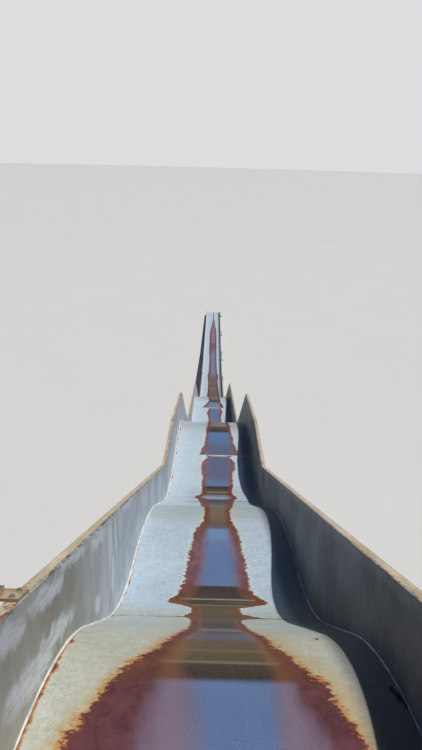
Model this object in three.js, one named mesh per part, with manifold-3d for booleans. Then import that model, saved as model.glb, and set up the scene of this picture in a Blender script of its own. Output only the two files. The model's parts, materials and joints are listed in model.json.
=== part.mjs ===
// A giant steel slide with four drops, on trestles, with a stair tower at its top end.
// It is a 1:2 scale model: every size here is in millimetres of the model, and the real slide is twice as large.
// +Y is the way people slide, +X is to their right and +Z is up. The origin is on the ground, in the middle of the footprint.
import * as THREE from "three";
import { mergeVertices } from "three/addons/utils/BufferGeometryUtils.js";
import Module from "manifold-3d";

const wasm = await Module();
wasm.setup();

// Clearance between pieces that touch
const GAP = 0.3;

// Chute: half the clear width, plate thicknesses, and the line of the bed as corners that arcs round off
const CHUTE_HALF = 300;
const WALL_PLATE = 3;
const BED_PLATE = 4;
const DECK_HEIGHT = 6600;
const BED_CORNERS = [
  { y: 0, z: DECK_HEIGHT, radius: 0 },
  { y: 490, z: 6576, radius: 750 },
  { y: 1100, z: 6026, radius: 875 },
  { y: 1812, z: 5912, radius: 2050 },
  { y: 2905, z: 5208, radius: 1800 },
  { y: 4425, z: 5116, radius: 1700 },
  { y: 6150, z: 3748, radius: 1750 },
  { y: 8750, z: 3430, radius: 2000 },
  { y: 11050, z: 1640, radius: 2000 },
  { y: 16450, z: 668, radius: 6000 },
  { y: 20250, z: 372, radius: 12000 },
  { y: 25750, z: 172, radius: 0 },
];
const CHUTE_END = BED_CORNERS[BED_CORNERS.length - 1].y;
const ARC_STEP = THREE.MathUtils.degToRad(4);

// Side walls: the heights of their top and bottom edges where the edges bend
const WALL_BENDS = [
  { y: 0, top: 6960, bottom: 6485 },
  { y: 2800, top: 5548, bottom: 5073 },
  { y: 3532, top: 5497, bottom: 5022 },
  { y: 4595, top: 5250, bottom: 4775 },
  { y: 5970, top: 4232, bottom: 3757 },
  { y: 9050, top: 3488, bottom: 3013 },
  { y: 11000, top: 2351, bottom: 1548 },
  { y: 12550, top: 1448, bottom: 1277 },
  { y: 16450, top: 743, bottom: 597 },
  { y: 20250, top: 448, bottom: 302 },
  { y: CHUTE_END, top: 248, bottom: 102 },
];
const WALL_JOINTS = [
  { top: 0, bottom: 0 },
  { top: 1080, bottom: 889 },
  { top: 2800, bottom: 2800 },
  { top: 4595, bottom: 4595 },
  { top: 9050, bottom: 9050 },
  { top: 16450, bottom: 16450 },
  { top: CHUTE_END, bottom: CHUTE_END },
];
const STIFFENER_PITCH = 600;
const STIFFENER_PLATE = 3;
const STIFFENER_REACH = 14;
const STIFFENED_DEPTH = 200;
const STIFFENER_CLEARANCE = 60;
const CAP_JOINTS = [0, 3532, 9050, 16450, CHUTE_END];
const CAP_WIDTH = 20;
const CAP_PLATE = 3;

// Bed: where one sheet ends and the next begins, and the bearers welded under each sheet
const BED_SEAMS = [0, 975, 2170, 3580, 5050, 6500, 7920, 9850, 11650, 16370, 19590, CHUTE_END];
const BEARER_PITCH = 700;
const BEARER_WIDTH = 20;
const BEARER_DEPTH = 32;
const BEARER_INSET = 4;

// Trestles: where they stand, and the sections of their members
const TRESTLES = [2400, 4750, 6950, 9200, 11450, 14000, 16550, 19650, 22700, 25600];
const LEG = 38;
const HEAD_DEPTH = 45;
const HEAD_OVERHANG = 60;
const CHEEK_PLATE = 6;
const CHEEK_HEIGHT = 110;
const BRACE = 18;
const TIE = 26;
const LEG_SPLAY = 0.1;
const TRESTLE_BAY = 1400;
const BAY_FOOT = 0.12;
const SHORT_TRESTLE = 700;
const FOOT_PLATE = 8;
const FOOT_HALF = 55;

// Stair tower: two flights side by side between a front and a rear landing
const FLIGHTS = 4;
const RISERS = 18;
const RISER = DECK_HEIGHT / (FLIGHTS * RISERS);
const GOING = 120;
const STOREY = RISER * RISERS;
const FLIGHT_RUN = GOING * (RISERS - 1);
const LANDING_DEPTH = 500;
const TOWER_LENGTH = FLIGHT_RUN + 2 * LANDING_DEPTH;
const TOWER_HALF = 450;
const POST = 50;
const POST_X = TOWER_HALF + POST / 2;
const POST_TOP = DECK_HEIGHT - 120;
const BEAM_WIDTH = POST - 2 * GAP;
const BEAM_DEPTH = 30;
const STAIR_GAP = 35;
const BRACKET_REACH = 60;
const BRACKET_DEPTH = 100;
const BRACKET_WIDTH = 30;
const STRINGER_PLATE = 5;
const STRINGER_DEPTH = 110;
const TREAD_PLATE = 4;
const TREAD_NOSE = 22;
const RAIL = 18;
const RAIL_HEIGHT = 450;
const GUARD_HEIGHT = 550;
const GUARD_RAILS = 3;
const NEWEL = 24;
const LANDING_PLATE = 5;
const LANDING_FRAME = 60;
const PLATFORM_RIM = 8;
const FRONT_Y = -POST / 2;
const REAR_Y = -TOWER_LENGTH + POST / 2;
const RAIL_LANDING_Y = 400;
const SHOE_HALF = 22;

const MIDDLE = (CHUTE_END + REAR_Y - FOOT_HALF) / 2;

const GALVANISED = { color: 0xb9c2c9, roughness: 0.42, metalness: 0.85 };
const WORN_STEEL = { color: 0x8a8f9c, roughness: 0.3, metalness: 0.9 };
const CREAM_PAINT = { color: 0xc9b48d, roughness: 0.6, metalness: 0.2 };
const GREY_PAINT = { color: 0x8d9497, roughness: 0.5, metalness: 0.4 };
const CHEQUER_PLATE = { color: 0x9a9fa3, roughness: 0.45, metalness: 0.8 };

const slide = new THREE.Group();

function addPiece(name, geometry, finish) {
  const mesh = new THREE.Mesh(geometry, new THREE.MeshStandardMaterial(finish));
  mesh.name = name;
  mesh.position.y = -MIDDLE;
  slide.add(mesh);
}

// A closed geometry as a solid that can be joined or cut
function solidOf(geometry) {
  const bare = geometry.clone();
  bare.deleteAttribute("normal");
  bare.deleteAttribute("uv");
  const merged = mergeVertices(bare, 1e-4);
  return new wasm.Manifold(
    new wasm.Mesh({
      numProp: 3,
      vertProperties: merged.attributes.position.array,
      triVerts: new Uint32Array(merged.index.array),
    }),
  );
}

function geometryOf(solid) {
  const mesh = solid.getMesh();
  const geometry = new THREE.BufferGeometry();
  geometry.setAttribute("position", new THREE.BufferAttribute(new Float32Array(mesh.vertProperties), 3));
  geometry.setIndex(new THREE.BufferAttribute(new Uint32Array(mesh.triVerts), 1));
  geometry.computeVertexNormals();
  return geometry;
}

// Welds several geometries into one
function weld(pieces) {
  const solids = pieces.map(solidOf);
  return geometryOf(solids.slice(1).reduce((whole, solid) => whole.add(solid), solids[0]));
}

// A box between two corners
function block(x0, x1, y0, y1, z0, z1) {
  const box = new THREE.BoxGeometry(x1 - x0, y1 - y0, z1 - z0);
  return box.translate((x0 + x1) / 2, (y0 + y1) / 2, (z0 + z1) / 2);
}

// A straight member of rectangular section between two points: across is its size along X, or along Y if it runs along X
function member(from, to, across, depth) {
  const start = new THREE.Vector3(...from);
  const along = new THREE.Vector3(...to).sub(start);
  const length = along.length();
  along.normalize();
  const inFrontPlane = Math.abs(along.x) > Math.abs(along.y);
  const side = inFrontPlane ? new THREE.Vector3(0, 1, 0) : new THREE.Vector3(1, 0, 0);
  side.addScaledVector(along, -side.dot(along)).normalize();
  const up = new THREE.Vector3().crossVectors(along, side);
  const basis = new THREE.Matrix4().makeBasis(side, up, along.clone());
  if (basis.determinant() < 0) basis.makeBasis(side.negate(), up, along);
  const box = new THREE.BoxGeometry(across, depth, length);
  box.translate(0, 0, length / 2);
  return box.applyMatrix4(basis).translate(start.x, start.y, start.z);
}

// An outline of [y, z] points made solid between two values of x
function plate(outline, x0, x1) {
  const shape = new THREE.Shape(outline.map(([y, z]) => new THREE.Vector2(y, z)));
  const solid = new THREE.ExtrudeGeometry(shape, { depth: x1 - x0, bevelEnabled: false });
  const upright = new THREE.Matrix4().makeBasis(
    new THREE.Vector3(0, 1, 0),
    new THREE.Vector3(0, 0, 1),
    new THREE.Vector3(1, 0, 0),
  );
  return solid.applyMatrix4(upright).translate(x0, 0, 0);
}

// The line of the bed as [y, z] points, with each corner turned into an arc
function bedLine() {
  const points = [];
  BED_CORNERS.forEach((corner, i) => {
    const here = new THREE.Vector2(corner.y, corner.z);
    if (!corner.radius) {
      points.push([here.x, here.y]);
      return;
    }
    const before = new THREE.Vector2(BED_CORNERS[i - 1].y, BED_CORNERS[i - 1].z);
    const after = new THREE.Vector2(BED_CORNERS[i + 1].y, BED_CORNERS[i + 1].z);
    const inward = here.clone().sub(before).normalize();
    const outward = after.sub(here).normalize();
    const turn = outward.angle() - inward.angle();
    const setback = corner.radius * Math.tan(Math.abs(turn) / 2);
    const start = here.clone().addScaledVector(inward, -setback);
    const bend = Math.sign(turn);
    const centre = start.clone().add(new THREE.Vector2(-inward.y, inward.x).multiplyScalar(bend * corner.radius));
    const steps = Math.ceil(Math.abs(turn) / ARC_STEP);
    for (let s = 0; s <= steps; s++) {
      const spoke = start.clone().sub(centre).rotateAround(new THREE.Vector2(), (turn * s) / steps);
      points.push([centre.x + spoke.x, centre.y + spoke.y]);
    }
  });
  return points;
}

// The height of a line of [y, z] points at one value of y
function heightOn(line, y) {
  const i = Math.max(1, line.findIndex((point) => point[0] >= y - 1e-6));
  const [y0, z0] = line[i - 1];
  const [y1, z1] = line[i];
  return z0 + ((y - y0) / (y1 - y0)) * (z1 - z0);
}

// The stretch of a line between two values of y, ends included
function stretch(line, y0, y1) {
  const inside = line.filter(([y]) => y > y0 + 1 && y < y1 - 1);
  return [[y0, heightOn(line, y0)], ...inside, [y1, heightOn(line, y1)]];
}

const BED_LINE = bedLine();
const WALL_TOP = WALL_BENDS.map(({ y, top }) => [y, top]);
const WALL_BOTTOM = WALL_BENDS.map(({ y, bottom }) => [y, bottom]);

// One sheet of the bed, with its bearers under it
function bedSheet(y0, y1) {
  const top = stretch(BED_LINE, y0, y1);
  const under = top.map(([y, z]) => [y, z - BED_PLATE]);
  const pieces = [plate([...top, ...under.reverse()], -CHUTE_HALF + GAP, CHUTE_HALF - GAP)];
  const bearers = Math.max(2, Math.round((y1 - y0) / BEARER_PITCH));
  for (let i = 0; i < bearers; i++) {
    const centre = y0 + ((i + 0.5) * (y1 - y0)) / bearers;
    const [back, front] = [centre - BEARER_WIDTH / 2, centre + BEARER_WIDTH / 2];
    const inside = (y) => heightOn(BED_LINE, y) - BED_PLATE / 2;
    const foot = inside(centre) - BEARER_DEPTH;
    const outline = [[back, inside(back)], [front, inside(front)], [front, foot], [back, foot]];
    pieces.push(plate(outline, -CHUTE_HALF + BEARER_INSET, CHUTE_HALF - BEARER_INSET));
  }
  return weld(pieces);
}

function buildBed() {
  for (let i = 0; i + 1 < BED_SEAMS.length; i++) {
    const start = BED_SEAMS[i] + GAP;
    const end = BED_SEAMS[i + 1] - (i + 2 < BED_SEAMS.length ? 0 : GAP);
    addPiece(`bed_sheet_${i + 1}`, bedSheet(start, end), WORN_STEEL);
  }
}

// Flat bars on the outside of a wall, square to its top edge, that keep a deep plate from buckling
function stiffeners(from, to, sign) {
  const bars = [];
  const count = Math.round((to.top - from.top) / STIFFENER_PITCH);
  for (let i = 0; i < count; i++) {
    const y = from.top + ((i + 0.5) * (to.top - from.top)) / count;
    const top = heightOn(WALL_TOP, y);
    const depth = top - heightOn(WALL_BOTTOM, y);
    const fall = top - heightOn(WALL_TOP, y + 1);
    const length = depth / (1 + fall * fall);
    const [low, high] = [length, CAP_WIDTH + 2 * GAP].map((down) => [y - fall * down, top - down]);
    const nearTrestle = TRESTLES.some(
      (place) => place > low[0] - STIFFENER_CLEARANCE && place < high[0] + STIFFENER_CLEARANCE,
    );
    if (nearTrestle || depth < STIFFENED_DEPTH) continue;
    const half = STIFFENER_PLATE / 2;
    const outline = [[low[0] - half, low[1]], [low[0] + half, low[1]], [high[0] + half, high[1]], [high[0] - half, high[1]]];
    bars.push(plate(outline, ...sideSpan(sign, CHUTE_HALF + WALL_PLATE / 2, CHUTE_HALF + WALL_PLATE + STIFFENER_REACH)));
  }
  return bars;
}

// Two distances from the middle as a pair of x values on one side, the lower first
function sideSpan(sign, near, far) {
  return [sign * near, sign * far].sort((a, b) => a - b);
}

// The two side walls, made of plates, with an angle iron along the top of each
function buildWalls() {
  for (const [side, sign] of [["left", -1], ["right", 1]]) {
    for (let i = 0; i + 1 < WALL_JOINTS.length; i++) {
      const [from, to] = [WALL_JOINTS[i], WALL_JOINTS[i + 1]];
      const top = stretch(WALL_TOP, from.top + GAP, to.top);
      const bottom = stretch(WALL_BOTTOM, from.bottom + GAP, to.bottom);
      const wall = plate([...top, ...bottom.reverse()], ...sideSpan(sign, CHUTE_HALF, CHUTE_HALF + WALL_PLATE));
      addPiece(`${side}_wall_${i + 1}`, weld([wall, ...stiffeners(from, to, sign)]), GALVANISED);
    }
    for (let i = 0; i + 1 < CAP_JOINTS.length; i++) {
      const edge = stretch(WALL_TOP, CAP_JOINTS[i] + GAP, CAP_JOINTS[i + 1]);
      const band = (depth) => [...edge, ...edge.map(([y, z]) => [y, z - depth]).reverse()];
      const inner = CHUTE_HALF + WALL_PLATE + GAP;
      const leg = plate(band(CAP_WIDTH), ...sideSpan(sign, inner, inner + CAP_PLATE));
      const flange = plate(band(CAP_PLATE), ...sideSpan(sign, inner, inner + CAP_WIDTH));
      addPiece(`${side}_cap_rail_${i + 1}`, weld([leg, flange]), CREAM_PAINT);
    }
  }
}

// One trestle: a head beam and cheek plates that hold the walls, two legs with ties and braces, and foot plates
function trestle(y) {
  const seat = heightOn(WALL_BOTTOM, y + LEG / 2) - GAP;
  const beam = seat - HEAD_DEPTH;
  const half = CHUTE_HALF + HEAD_OVERHANG;
  const legTop = half - LEG / 2;
  const tall = seat > SHORT_TRESTLE;
  const legFoot = tall ? legTop + LEG_SPLAY * seat : legTop;
  const legAt = (z) => legTop + ((legFoot - legTop) * (beam - z)) / beam;
  const pieces = [block(-half, half, y - LEG / 2, y + LEG / 2, beam, seat)];
  for (const sign of [-1, 1]) {
    const cheek = CHUTE_HALF + WALL_PLATE + GAP;
    const cheekTop = Math.min(seat + CHEEK_HEIGHT, heightOn(WALL_TOP, y + LEG / 2) - CAP_WIDTH - GAP);
    pieces.push(block(...sideSpan(sign, cheek, cheek + CHEEK_PLATE), y - LEG / 2, y + LEG / 2, beam, cheekTop));
    pieces.push(member([sign * legFoot, y, 0], [sign * legTop, y, beam + HEAD_DEPTH / 2], LEG, LEG));
    const footX = sign * legFoot;
    pieces.push(block(footX - FOOT_HALF, footX + FOOT_HALF, y - FOOT_HALF, y + FOOT_HALF, 0, FOOT_PLATE));
  }
  if (tall) {
    const bays = Math.max(1, Math.round(beam / TRESTLE_BAY));
    for (let bay = 0; bay < bays; bay++) {
      const low = (beam * (bay + BAY_FOOT)) / bays;
      const high = (beam * (bay + 1)) / bays - (bay === bays - 1 ? LEG / 2 : 0);
      pieces.push(member([-legAt(low), y, low], [legAt(low), y, low], TIE, TIE));
      pieces.push(member([-legAt(low), y, low], [legAt(high), y, high], BRACE, BRACE));
      pieces.push(member([legAt(low), y, low], [-legAt(high), y, high], BRACE, BRACE));
    }
  }
  return groundCut(weld(pieces));
}

// Cuts off whatever a sloping leg pokes below the ground
function groundCut(geometry) {
  const earth = block(-5000, 5000, -50000, 50000, -500, 0);
  return geometryOf(solidOf(geometry).subtract(solidOf(earth)));
}

function buildTrestles() {
  TRESTLES.forEach((y, i) => addPiece(`trestle_${i + 1}`, trestle(y), GREY_PAINT));
}

// The y of the lower and upper end of a flight, counted from 0: even flights climb to the rear
function flightEnds(n) {
  const front = -LANDING_DEPTH;
  const rear = front - FLIGHT_RUN;
  return n % 2 === 0 ? [front, rear] : [rear, front];
}

// One flight: two stringers and its treads with turned-down noses
function flight(n) {
  const side = n % 2 === 0 ? -1 : 1;
  const [y0, y1] = flightEnds(n);
  const way = Math.sign(y1 - y0);
  const z0 = n * STOREY;
  const xs = sideSpan(side, STAIR_GAP, TOWER_HALF - GAP);
  const low = y0 + way * GAP;
  const high = y1 - way * GAP;
  const outline = [
    [low, z0 + RISER],
    [high, z0 + STOREY],
    [high, z0 + STOREY - STRINGER_DEPTH],
  ];
  const overhang = STRINGER_DEPTH - RISER;
  if (n === 0) outline.push([low + way * overhang * (GOING / RISER), 0], [low, 0]);
  else outline.push([low, z0 - overhang]);
  const pieces = [
    plate(outline, xs[0], xs[0] + STRINGER_PLATE),
    plate(outline, xs[1] - STRINGER_PLATE, xs[1]),
  ];
  for (let step = 1; step < RISERS; step++) {
    const nose = y0 + way * (GOING * (step - 1) + GAP);
    const back = nose + way * (GOING - 2 * GAP);
    const top = z0 + RISER * step;
    const lip = nose + way * TREAD_PLATE;
    const tread = [[nose, top], [back, top], [back, top - TREAD_PLATE], [lip, top - TREAD_PLATE],
      [lip, top - TREAD_NOSE], [nose, top - TREAD_NOSE]];
    pieces.push(plate(tread, xs[0] + STRINGER_PLATE / 2, xs[1] - STRINGER_PLATE / 2));
  }
  return weld(pieces);
}

// A plate with a rim of flat bars under its edges and one more bar under its middle
function framedPlate(half, y0, y1, low, top, rim) {
  const pockets = [-1, 1].map((side) => {
    const [a, b] = sideSpan(side, rim / 2, half - rim);
    return solidOf(block(a, b, y0 + rim, y1 - rim, low - rim, top - LANDING_PLATE));
  });
  const whole = solidOf(block(-half, half, y0, y1, low, top));
  return geometryOf(whole.subtract(pockets[0]).subtract(pockets[1]));
}

function buildStair() {
  for (let n = 0; n < FLIGHTS; n++) addPiece(`stair_flight_${n + 1}`, flight(n), GREY_PAINT);
  const rear = -TOWER_LENGTH + POST + GAP;
  const front = -POST - GAP;
  const inner = -LANDING_DEPTH - FLIGHT_RUN;
  for (let n = 1; n < FLIGHTS; n++) {
    const atRear = n % 2 === 1;
    const [y0, y1] = atRear ? [rear, inner] : [-LANDING_DEPTH, front];
    const top = n * STOREY;
    const landing = framedPlate(TOWER_HALF - GAP, y0, y1, top - LANDING_FRAME, top, LANDING_PLATE);
    addPiece(`landing_${n}`, landing, CHEQUER_PLATE);
  }
}

// The handrail between the flights: two newel posts, with a top and a middle rail beside each flight
function centreHandrail() {
  const front = -LANDING_DEPTH - GAP - NEWEL / 2;
  const rear = -LANDING_DEPTH - FLIGHT_RUN + GAP + NEWEL / 2;
  const half = NEWEL / 2;
  const pieces = [
    block(-half, half, front - half, front + half, 0, DECK_HEIGHT + GUARD_HEIGHT),
    block(-half, half, rear - half, rear + half, 0, DECK_HEIGHT - STOREY + GUARD_HEIGHT),
  ];
  for (let n = 0; n < FLIGHTS; n++) {
    const [low, high] = n % 2 === 0 ? [front, rear] : [rear, front];
    for (const height of [RAIL_HEIGHT / 2, RAIL_HEIGHT]) {
      const lift = height + RISER;
      pieces.push(member([0, low, n * STOREY + lift], [0, high, (n + 1) * STOREY + height], RAIL, RAIL));
    }
  }
  return weld(pieces);
}

// The heights of the middle of the beams under and over one storey of the tower
function storeyBeams(n) {
  const low = n === 0 ? FOOT_PLATE + BEAM_DEPTH : n * STOREY - LANDING_FRAME / 2;
  const high = n === FLIGHTS - 1 ? POST_TOP - BEAM_DEPTH / 2 : (n + 1) * STOREY - LANDING_FRAME / 2;
  return [low, high];
}

// One long side of the tower: two posts, beams at each landing, braces, and the handrails of the flights beside it
function towerSide(sign) {
  const x = sign * POST_X;
  const half = POST / 2;
  const pieces = [];
  for (const y of [FRONT_Y, REAR_Y]) {
    pieces.push(block(x - half, x + half, y - half, y + half, 0, POST_TOP));
    pieces.push(block(x - FOOT_HALF, x + FOOT_HALF, y - FOOT_HALF, y + FOOT_HALF, 0, FOOT_PLATE));
  }
  for (let n = 0; n < FLIGHTS; n++) {
    const [low, high] = storeyBeams(n);
    pieces.push(member([x, FRONT_Y, high], [x, REAR_Y, high], BEAM_WIDTH, BEAM_DEPTH));
    const besideFlight = (n % 2 === 0) === (sign < 0);
    const climbsToRear = n % 2 === 0;
    const [start, end] = climbsToRear ? [FRONT_Y, REAR_Y] : [REAR_Y, FRONT_Y];
    const [a, b] = besideFlight ? [end, start] : [start, end];
    pieces.push(member([x, a, low], [x, b, high], BRACE, BRACE));
    if (!besideFlight) continue;
    const [y0, y1] = flightEnds(n);
    for (const height of [RAIL_HEIGHT / 2, RAIL_HEIGHT]) {
      const foot = n * STOREY + RISER + height;
      const top = (n + 1) * STOREY + height;
      pieces.push(member([x, y0, foot], [x, y1, top], RAIL, RAIL));
      pieces.push(member([x, start, foot], [x, y0, foot], RAIL, RAIL));
      if (n < FLIGHTS - 1) pieces.push(member([x, y1, top], [x, end, top], RAIL, RAIL));
    }
  }
  if (sign > 0) {
    const y = -LANDING_DEPTH - RAIL;
    const top = DECK_HEIGHT + RAIL_HEIGHT - (RAIL * RISER) / GOING;
    pieces.push(member([x, y, POST_TOP - BEAM_DEPTH / 2], [x, y, top], RAIL, RAIL));
  }
  return weld(pieces);
}

// The front or rear end of the tower: beams and braces between the posts, and guard rails at its landings
function towerEnd(y, guardedFlights, openBays) {
  const x = TOWER_HALF - GAP;
  const pieces = [];
  for (let n = 0; n < FLIGHTS; n++) {
    const [low, high] = storeyBeams(n);
    pieces.push(member([-x, y, high], [x, y, high], BEAM_WIDTH, BEAM_DEPTH));
    if (openBays.includes(n)) continue;
    const foot = (n % 2 ? 1 : -1) * (x - BRACE);
    pieces.push(member([-foot, y, low], [foot, y, high], BRACE, BRACE));
  }
  for (const n of guardedFlights) {
    const floor = n * STOREY;
    for (const height of [RAIL_HEIGHT / 2, RAIL_HEIGHT]) {
      pieces.push(member([-x, y, floor + height], [x, y, floor + height], RAIL, RAIL));
    }
    for (const postX of [-x / 2, 0, x / 2]) {
      pieces.push(member([postX, y, floor - LANDING_FRAME / 2], [postX, y, floor + RAIL_HEIGHT], RAIL, RAIL));
    }
  }
  return pieces;
}

// Two brackets on the front of the tower that carry the top end of the chute's walls
function chuteBrackets() {
  const middle = CHUTE_HALF + WALL_PLATE / 2;
  const top = POST_TOP - BEAM_DEPTH / 2;
  const shelf = heightOn(WALL_BOTTOM, BRACKET_REACH) - GAP;
  return [-1, 1].flatMap((sign) => {
    const xs = sideSpan(sign, middle - BRACKET_WIDTH / 2, middle + BRACKET_WIDTH / 2);
    const outline = [[-POST / 2, top], [-POST / 2, top - BRACKET_DEPTH], [-GAP, top - BRACKET_DEPTH], [-GAP, top]];
    const arm = [[-POST / 2, shelf - BRACKET_DEPTH / 2], [0, shelf - BRACKET_DEPTH / 2], [BRACKET_REACH, shelf - TIE / 2], [BRACKET_REACH, shelf], [-POST / 2, shelf]];
    return [plate(outline, ...xs), plate(arm, ...xs)];
  });
}

function buildTower() {
  addPiece("tower_left_side", towerSide(-1), GREY_PAINT);
  addPiece("tower_right_side", towerSide(1), GREY_PAINT);
  addPiece("tower_front", weld([...towerEnd(FRONT_Y, [2], [0]), ...chuteBrackets()]), GREY_PAINT);
  addPiece("tower_rear", weld(towerEnd(REAR_Y, [1, 3], [])), GREY_PAINT);
  addPiece("centre_handrail", centreHandrail(), GREY_PAINT);
}

// The heights of the middle of the platform guards' rails
function guardRailHeights() {
  const rails = Array.from({ length: GUARD_RAILS }, (_, i) => (i + 1) / GUARD_RAILS);
  return rails.map((share) => DECK_HEIGHT + GUARD_HEIGHT * share - RAIL / 2);
}

// A guard beside the platform, turned in at the front, with a rail that runs down to the wall of the chute
function platformGuard(sign) {
  const x = sign * POST_X;
  const inner = sign * (CHUTE_HALF + WALL_PLATE + GAP + CAP_WIDTH + RAIL);
  const front = -RAIL;
  const back = -LANDING_DEPTH + RAIL;
  const deck = DECK_HEIGHT + GAP;
  const top = DECK_HEIGHT + GUARD_HEIGHT;
  const capZ = heightOn(WALL_TOP, RAIL_LANDING_Y);
  const pieces = [];
  for (const [px, py] of [[x, back], [x, front], [inner, front]]) {
    pieces.push(block(px - RAIL / 2, px + RAIL / 2, py - RAIL / 2, py + RAIL / 2, deck, top));
  }
  for (const z of guardRailHeights()) {
    pieces.push(member([x, back, z], [x, front, z], RAIL, RAIL));
    pieces.push(member([x, front, z], [inner, front, z], RAIL, RAIL));
  }
  pieces.push(member([inner, front, top - RAIL / 2], [inner, RAIL_LANDING_Y, capZ + RAIL / 2 + GAP], RAIL, RAIL));
  const seat = [RAIL_LANDING_Y - SHOE_HALF, RAIL_LANDING_Y + SHOE_HALF].map((y) => [y, heightOn(WALL_TOP, y) + GAP]);
  const outline = [...seat, ...seat.map(([y, z]) => [y, z + CHEEK_PLATE]).reverse()];
  const wallFace = CHUTE_HALF + WALL_PLATE + GAP;
  pieces.push(plate(outline, ...sideSpan(sign, wallFace, sign * inner + RAIL / 2)));
  return weld(pieces);
}

// The guard behind the platform, over the flight that leads away from below it
function rearGuard() {
  const y = -LANDING_DEPTH + RAIL;
  const left = -POST_X + RAIL / 2 + GAP;
  const right = -NEWEL / 2;
  const deck = DECK_HEIGHT + GAP;
  const pieces = [];
  for (const z of guardRailHeights()) {
    pieces.push(member([left, y, z], [right, y, z], RAIL, RAIL));
  }
  for (const x of [left + RAIL / 2, (left + right) / 2, right - RAIL / 2]) {
    pieces.push(block(x - RAIL / 2, x + RAIL / 2, y - RAIL / 2, y + RAIL / 2, deck, DECK_HEIGHT + GUARD_HEIGHT));
  }
  return weld(pieces);
}

function buildPlatform() {
  const platform = framedPlate(TOWER_HALF + POST, -LANDING_DEPTH, 0, POST_TOP + GAP, DECK_HEIGHT, PLATFORM_RIM);
  addPiece("start_platform", platform, CHEQUER_PLATE);
  addPiece("left_guard", platformGuard(-1), GREY_PAINT);
  addPiece("right_guard", platformGuard(1), GREY_PAINT);
  addPiece("rear_guard", rearGuard(), GREY_PAINT);
}

buildBed();
buildWalls();
buildTrestles();
buildTower();
buildStair();
buildPlatform();

export default slide;
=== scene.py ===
"""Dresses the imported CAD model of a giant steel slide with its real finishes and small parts.

Sizes are in metres of the 1:2 scale model unless a name ends in _mm. Tables in millimetres count y
from the start of the chute, as the CAD source does. In the model +Y is the way people slide, +X is to
their right and +Z is up.
"""

import json
import logging
import math
from collections.abc import Callable, Sequence
from dataclasses import dataclass, field
from enum import Enum
from functools import cache, cached_property, partial, reduce

import bpy
import numpy as np
from mathutils import Matrix, Vector

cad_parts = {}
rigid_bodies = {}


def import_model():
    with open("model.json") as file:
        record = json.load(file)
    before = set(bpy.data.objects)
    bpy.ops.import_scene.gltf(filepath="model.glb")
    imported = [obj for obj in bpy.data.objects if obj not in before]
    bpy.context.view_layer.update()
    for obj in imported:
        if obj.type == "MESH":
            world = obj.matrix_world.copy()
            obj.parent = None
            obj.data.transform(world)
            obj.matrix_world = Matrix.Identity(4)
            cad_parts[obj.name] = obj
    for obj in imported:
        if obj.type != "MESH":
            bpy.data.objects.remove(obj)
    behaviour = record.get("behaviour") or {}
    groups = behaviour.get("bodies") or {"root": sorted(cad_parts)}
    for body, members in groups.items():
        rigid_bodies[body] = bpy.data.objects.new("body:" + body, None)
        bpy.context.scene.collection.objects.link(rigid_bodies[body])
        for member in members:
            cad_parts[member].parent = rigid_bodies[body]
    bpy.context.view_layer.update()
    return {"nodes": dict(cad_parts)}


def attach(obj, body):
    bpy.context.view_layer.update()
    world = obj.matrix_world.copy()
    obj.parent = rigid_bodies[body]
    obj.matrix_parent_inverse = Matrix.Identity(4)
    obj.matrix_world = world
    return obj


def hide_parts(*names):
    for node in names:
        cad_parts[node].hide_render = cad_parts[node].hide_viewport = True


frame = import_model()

log = logging.getLogger("giant_slide")

Point = tuple[float, float, float]
Rgb = tuple[int, int, int]
Socket = bpy.types.NodeSocket
Feed = Socket | float | Sequence[float]
Stops = tuple[tuple[float, float], ...]
Mesh = bpy.types.Mesh
Object = bpy.types.Object

MM = 0.001
MIDDLE_MM = 11340.0
GAP = 0.0003
SIDES = {"left": -1, "right": 1}
NOWHERE: Point = (0.0, 0.0, 0.0)
EVEN: Point = (1.0, 1.0, 1.0)
UP: Point = (0.0, 0.0, 1.0)

# The chute as the CAD source has it: corners of the bed's line with their arcs, and the walls' edges
BED_CORNERS_MM = (
    (0, 6600, 0), (490, 6576, 750), (1100, 6026, 875), (1812, 5912, 2050), (2905, 5208, 1800),
    (4425, 5116, 1700), (6150, 3748, 1750), (8750, 3430, 2000), (11050, 1640, 2000),
    (16450, 668, 6000), (20250, 372, 12000), (25750, 172, 0),
)
WALL_BENDS_MM = (
    (0, 6960, 6485), (2800, 5548, 5073), (3532, 5497, 5022), (4595, 5250, 4775), (5970, 4232, 3757),
    (9050, 3488, 3013), (11000, 2351, 1548), (12550, 1448, 1277), (16450, 743, 597),
    (20250, 448, 302), (25750, 248, 102),
)
BED_SEAMS_MM = (0, 975, 2170, 3580, 5050, 6500, 7920, 9850, 11650, 16370, 19590, 25750)
WALL_SEAMS_MM = ((1080, 889), (2800, 2800), (4595, 4595), (9050, 9050), (16450, 16450))
CAP_SEAMS_MM = (3532, 9050, 16450)
TRESTLES_MM = (2400, 4750, 6950, 9200, 11450, 14000, 16550, 19650, 22700, 25600)
# The length of the strips of a smooth line, in metres, up to each distance in millimetres
STRIPS = ((1500, 0.005), (4400, 0.008), (9900, 0.014), (math.inf, 0.034))
SHORTEST_STRIP = 0.002
HALF_CLEAR = 0.3
WALL_PLATE = 0.003
BED_PLATE = 0.004
# Bevels on the edges of base plates, frame plates, and straps and cleats
THIN_BEVEL = 0.0006
FRAME_BEVEL = 0.0007
STRAP_BEVEL = 0.0008
BEVEL_ANGLE = 40.0


def model_y(y_mm: float) -> float:
    """Turns a distance from the start of the chute, in millimetres, into the model's y."""
    return (y_mm - MIDDLE_MM) * MM


def chute_mm(y: np.ndarray | float) -> np.ndarray | float:
    """Turns the model's y into a distance from the start of the chute, in millimetres."""
    return y / MM + MIDDLE_MM


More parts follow.
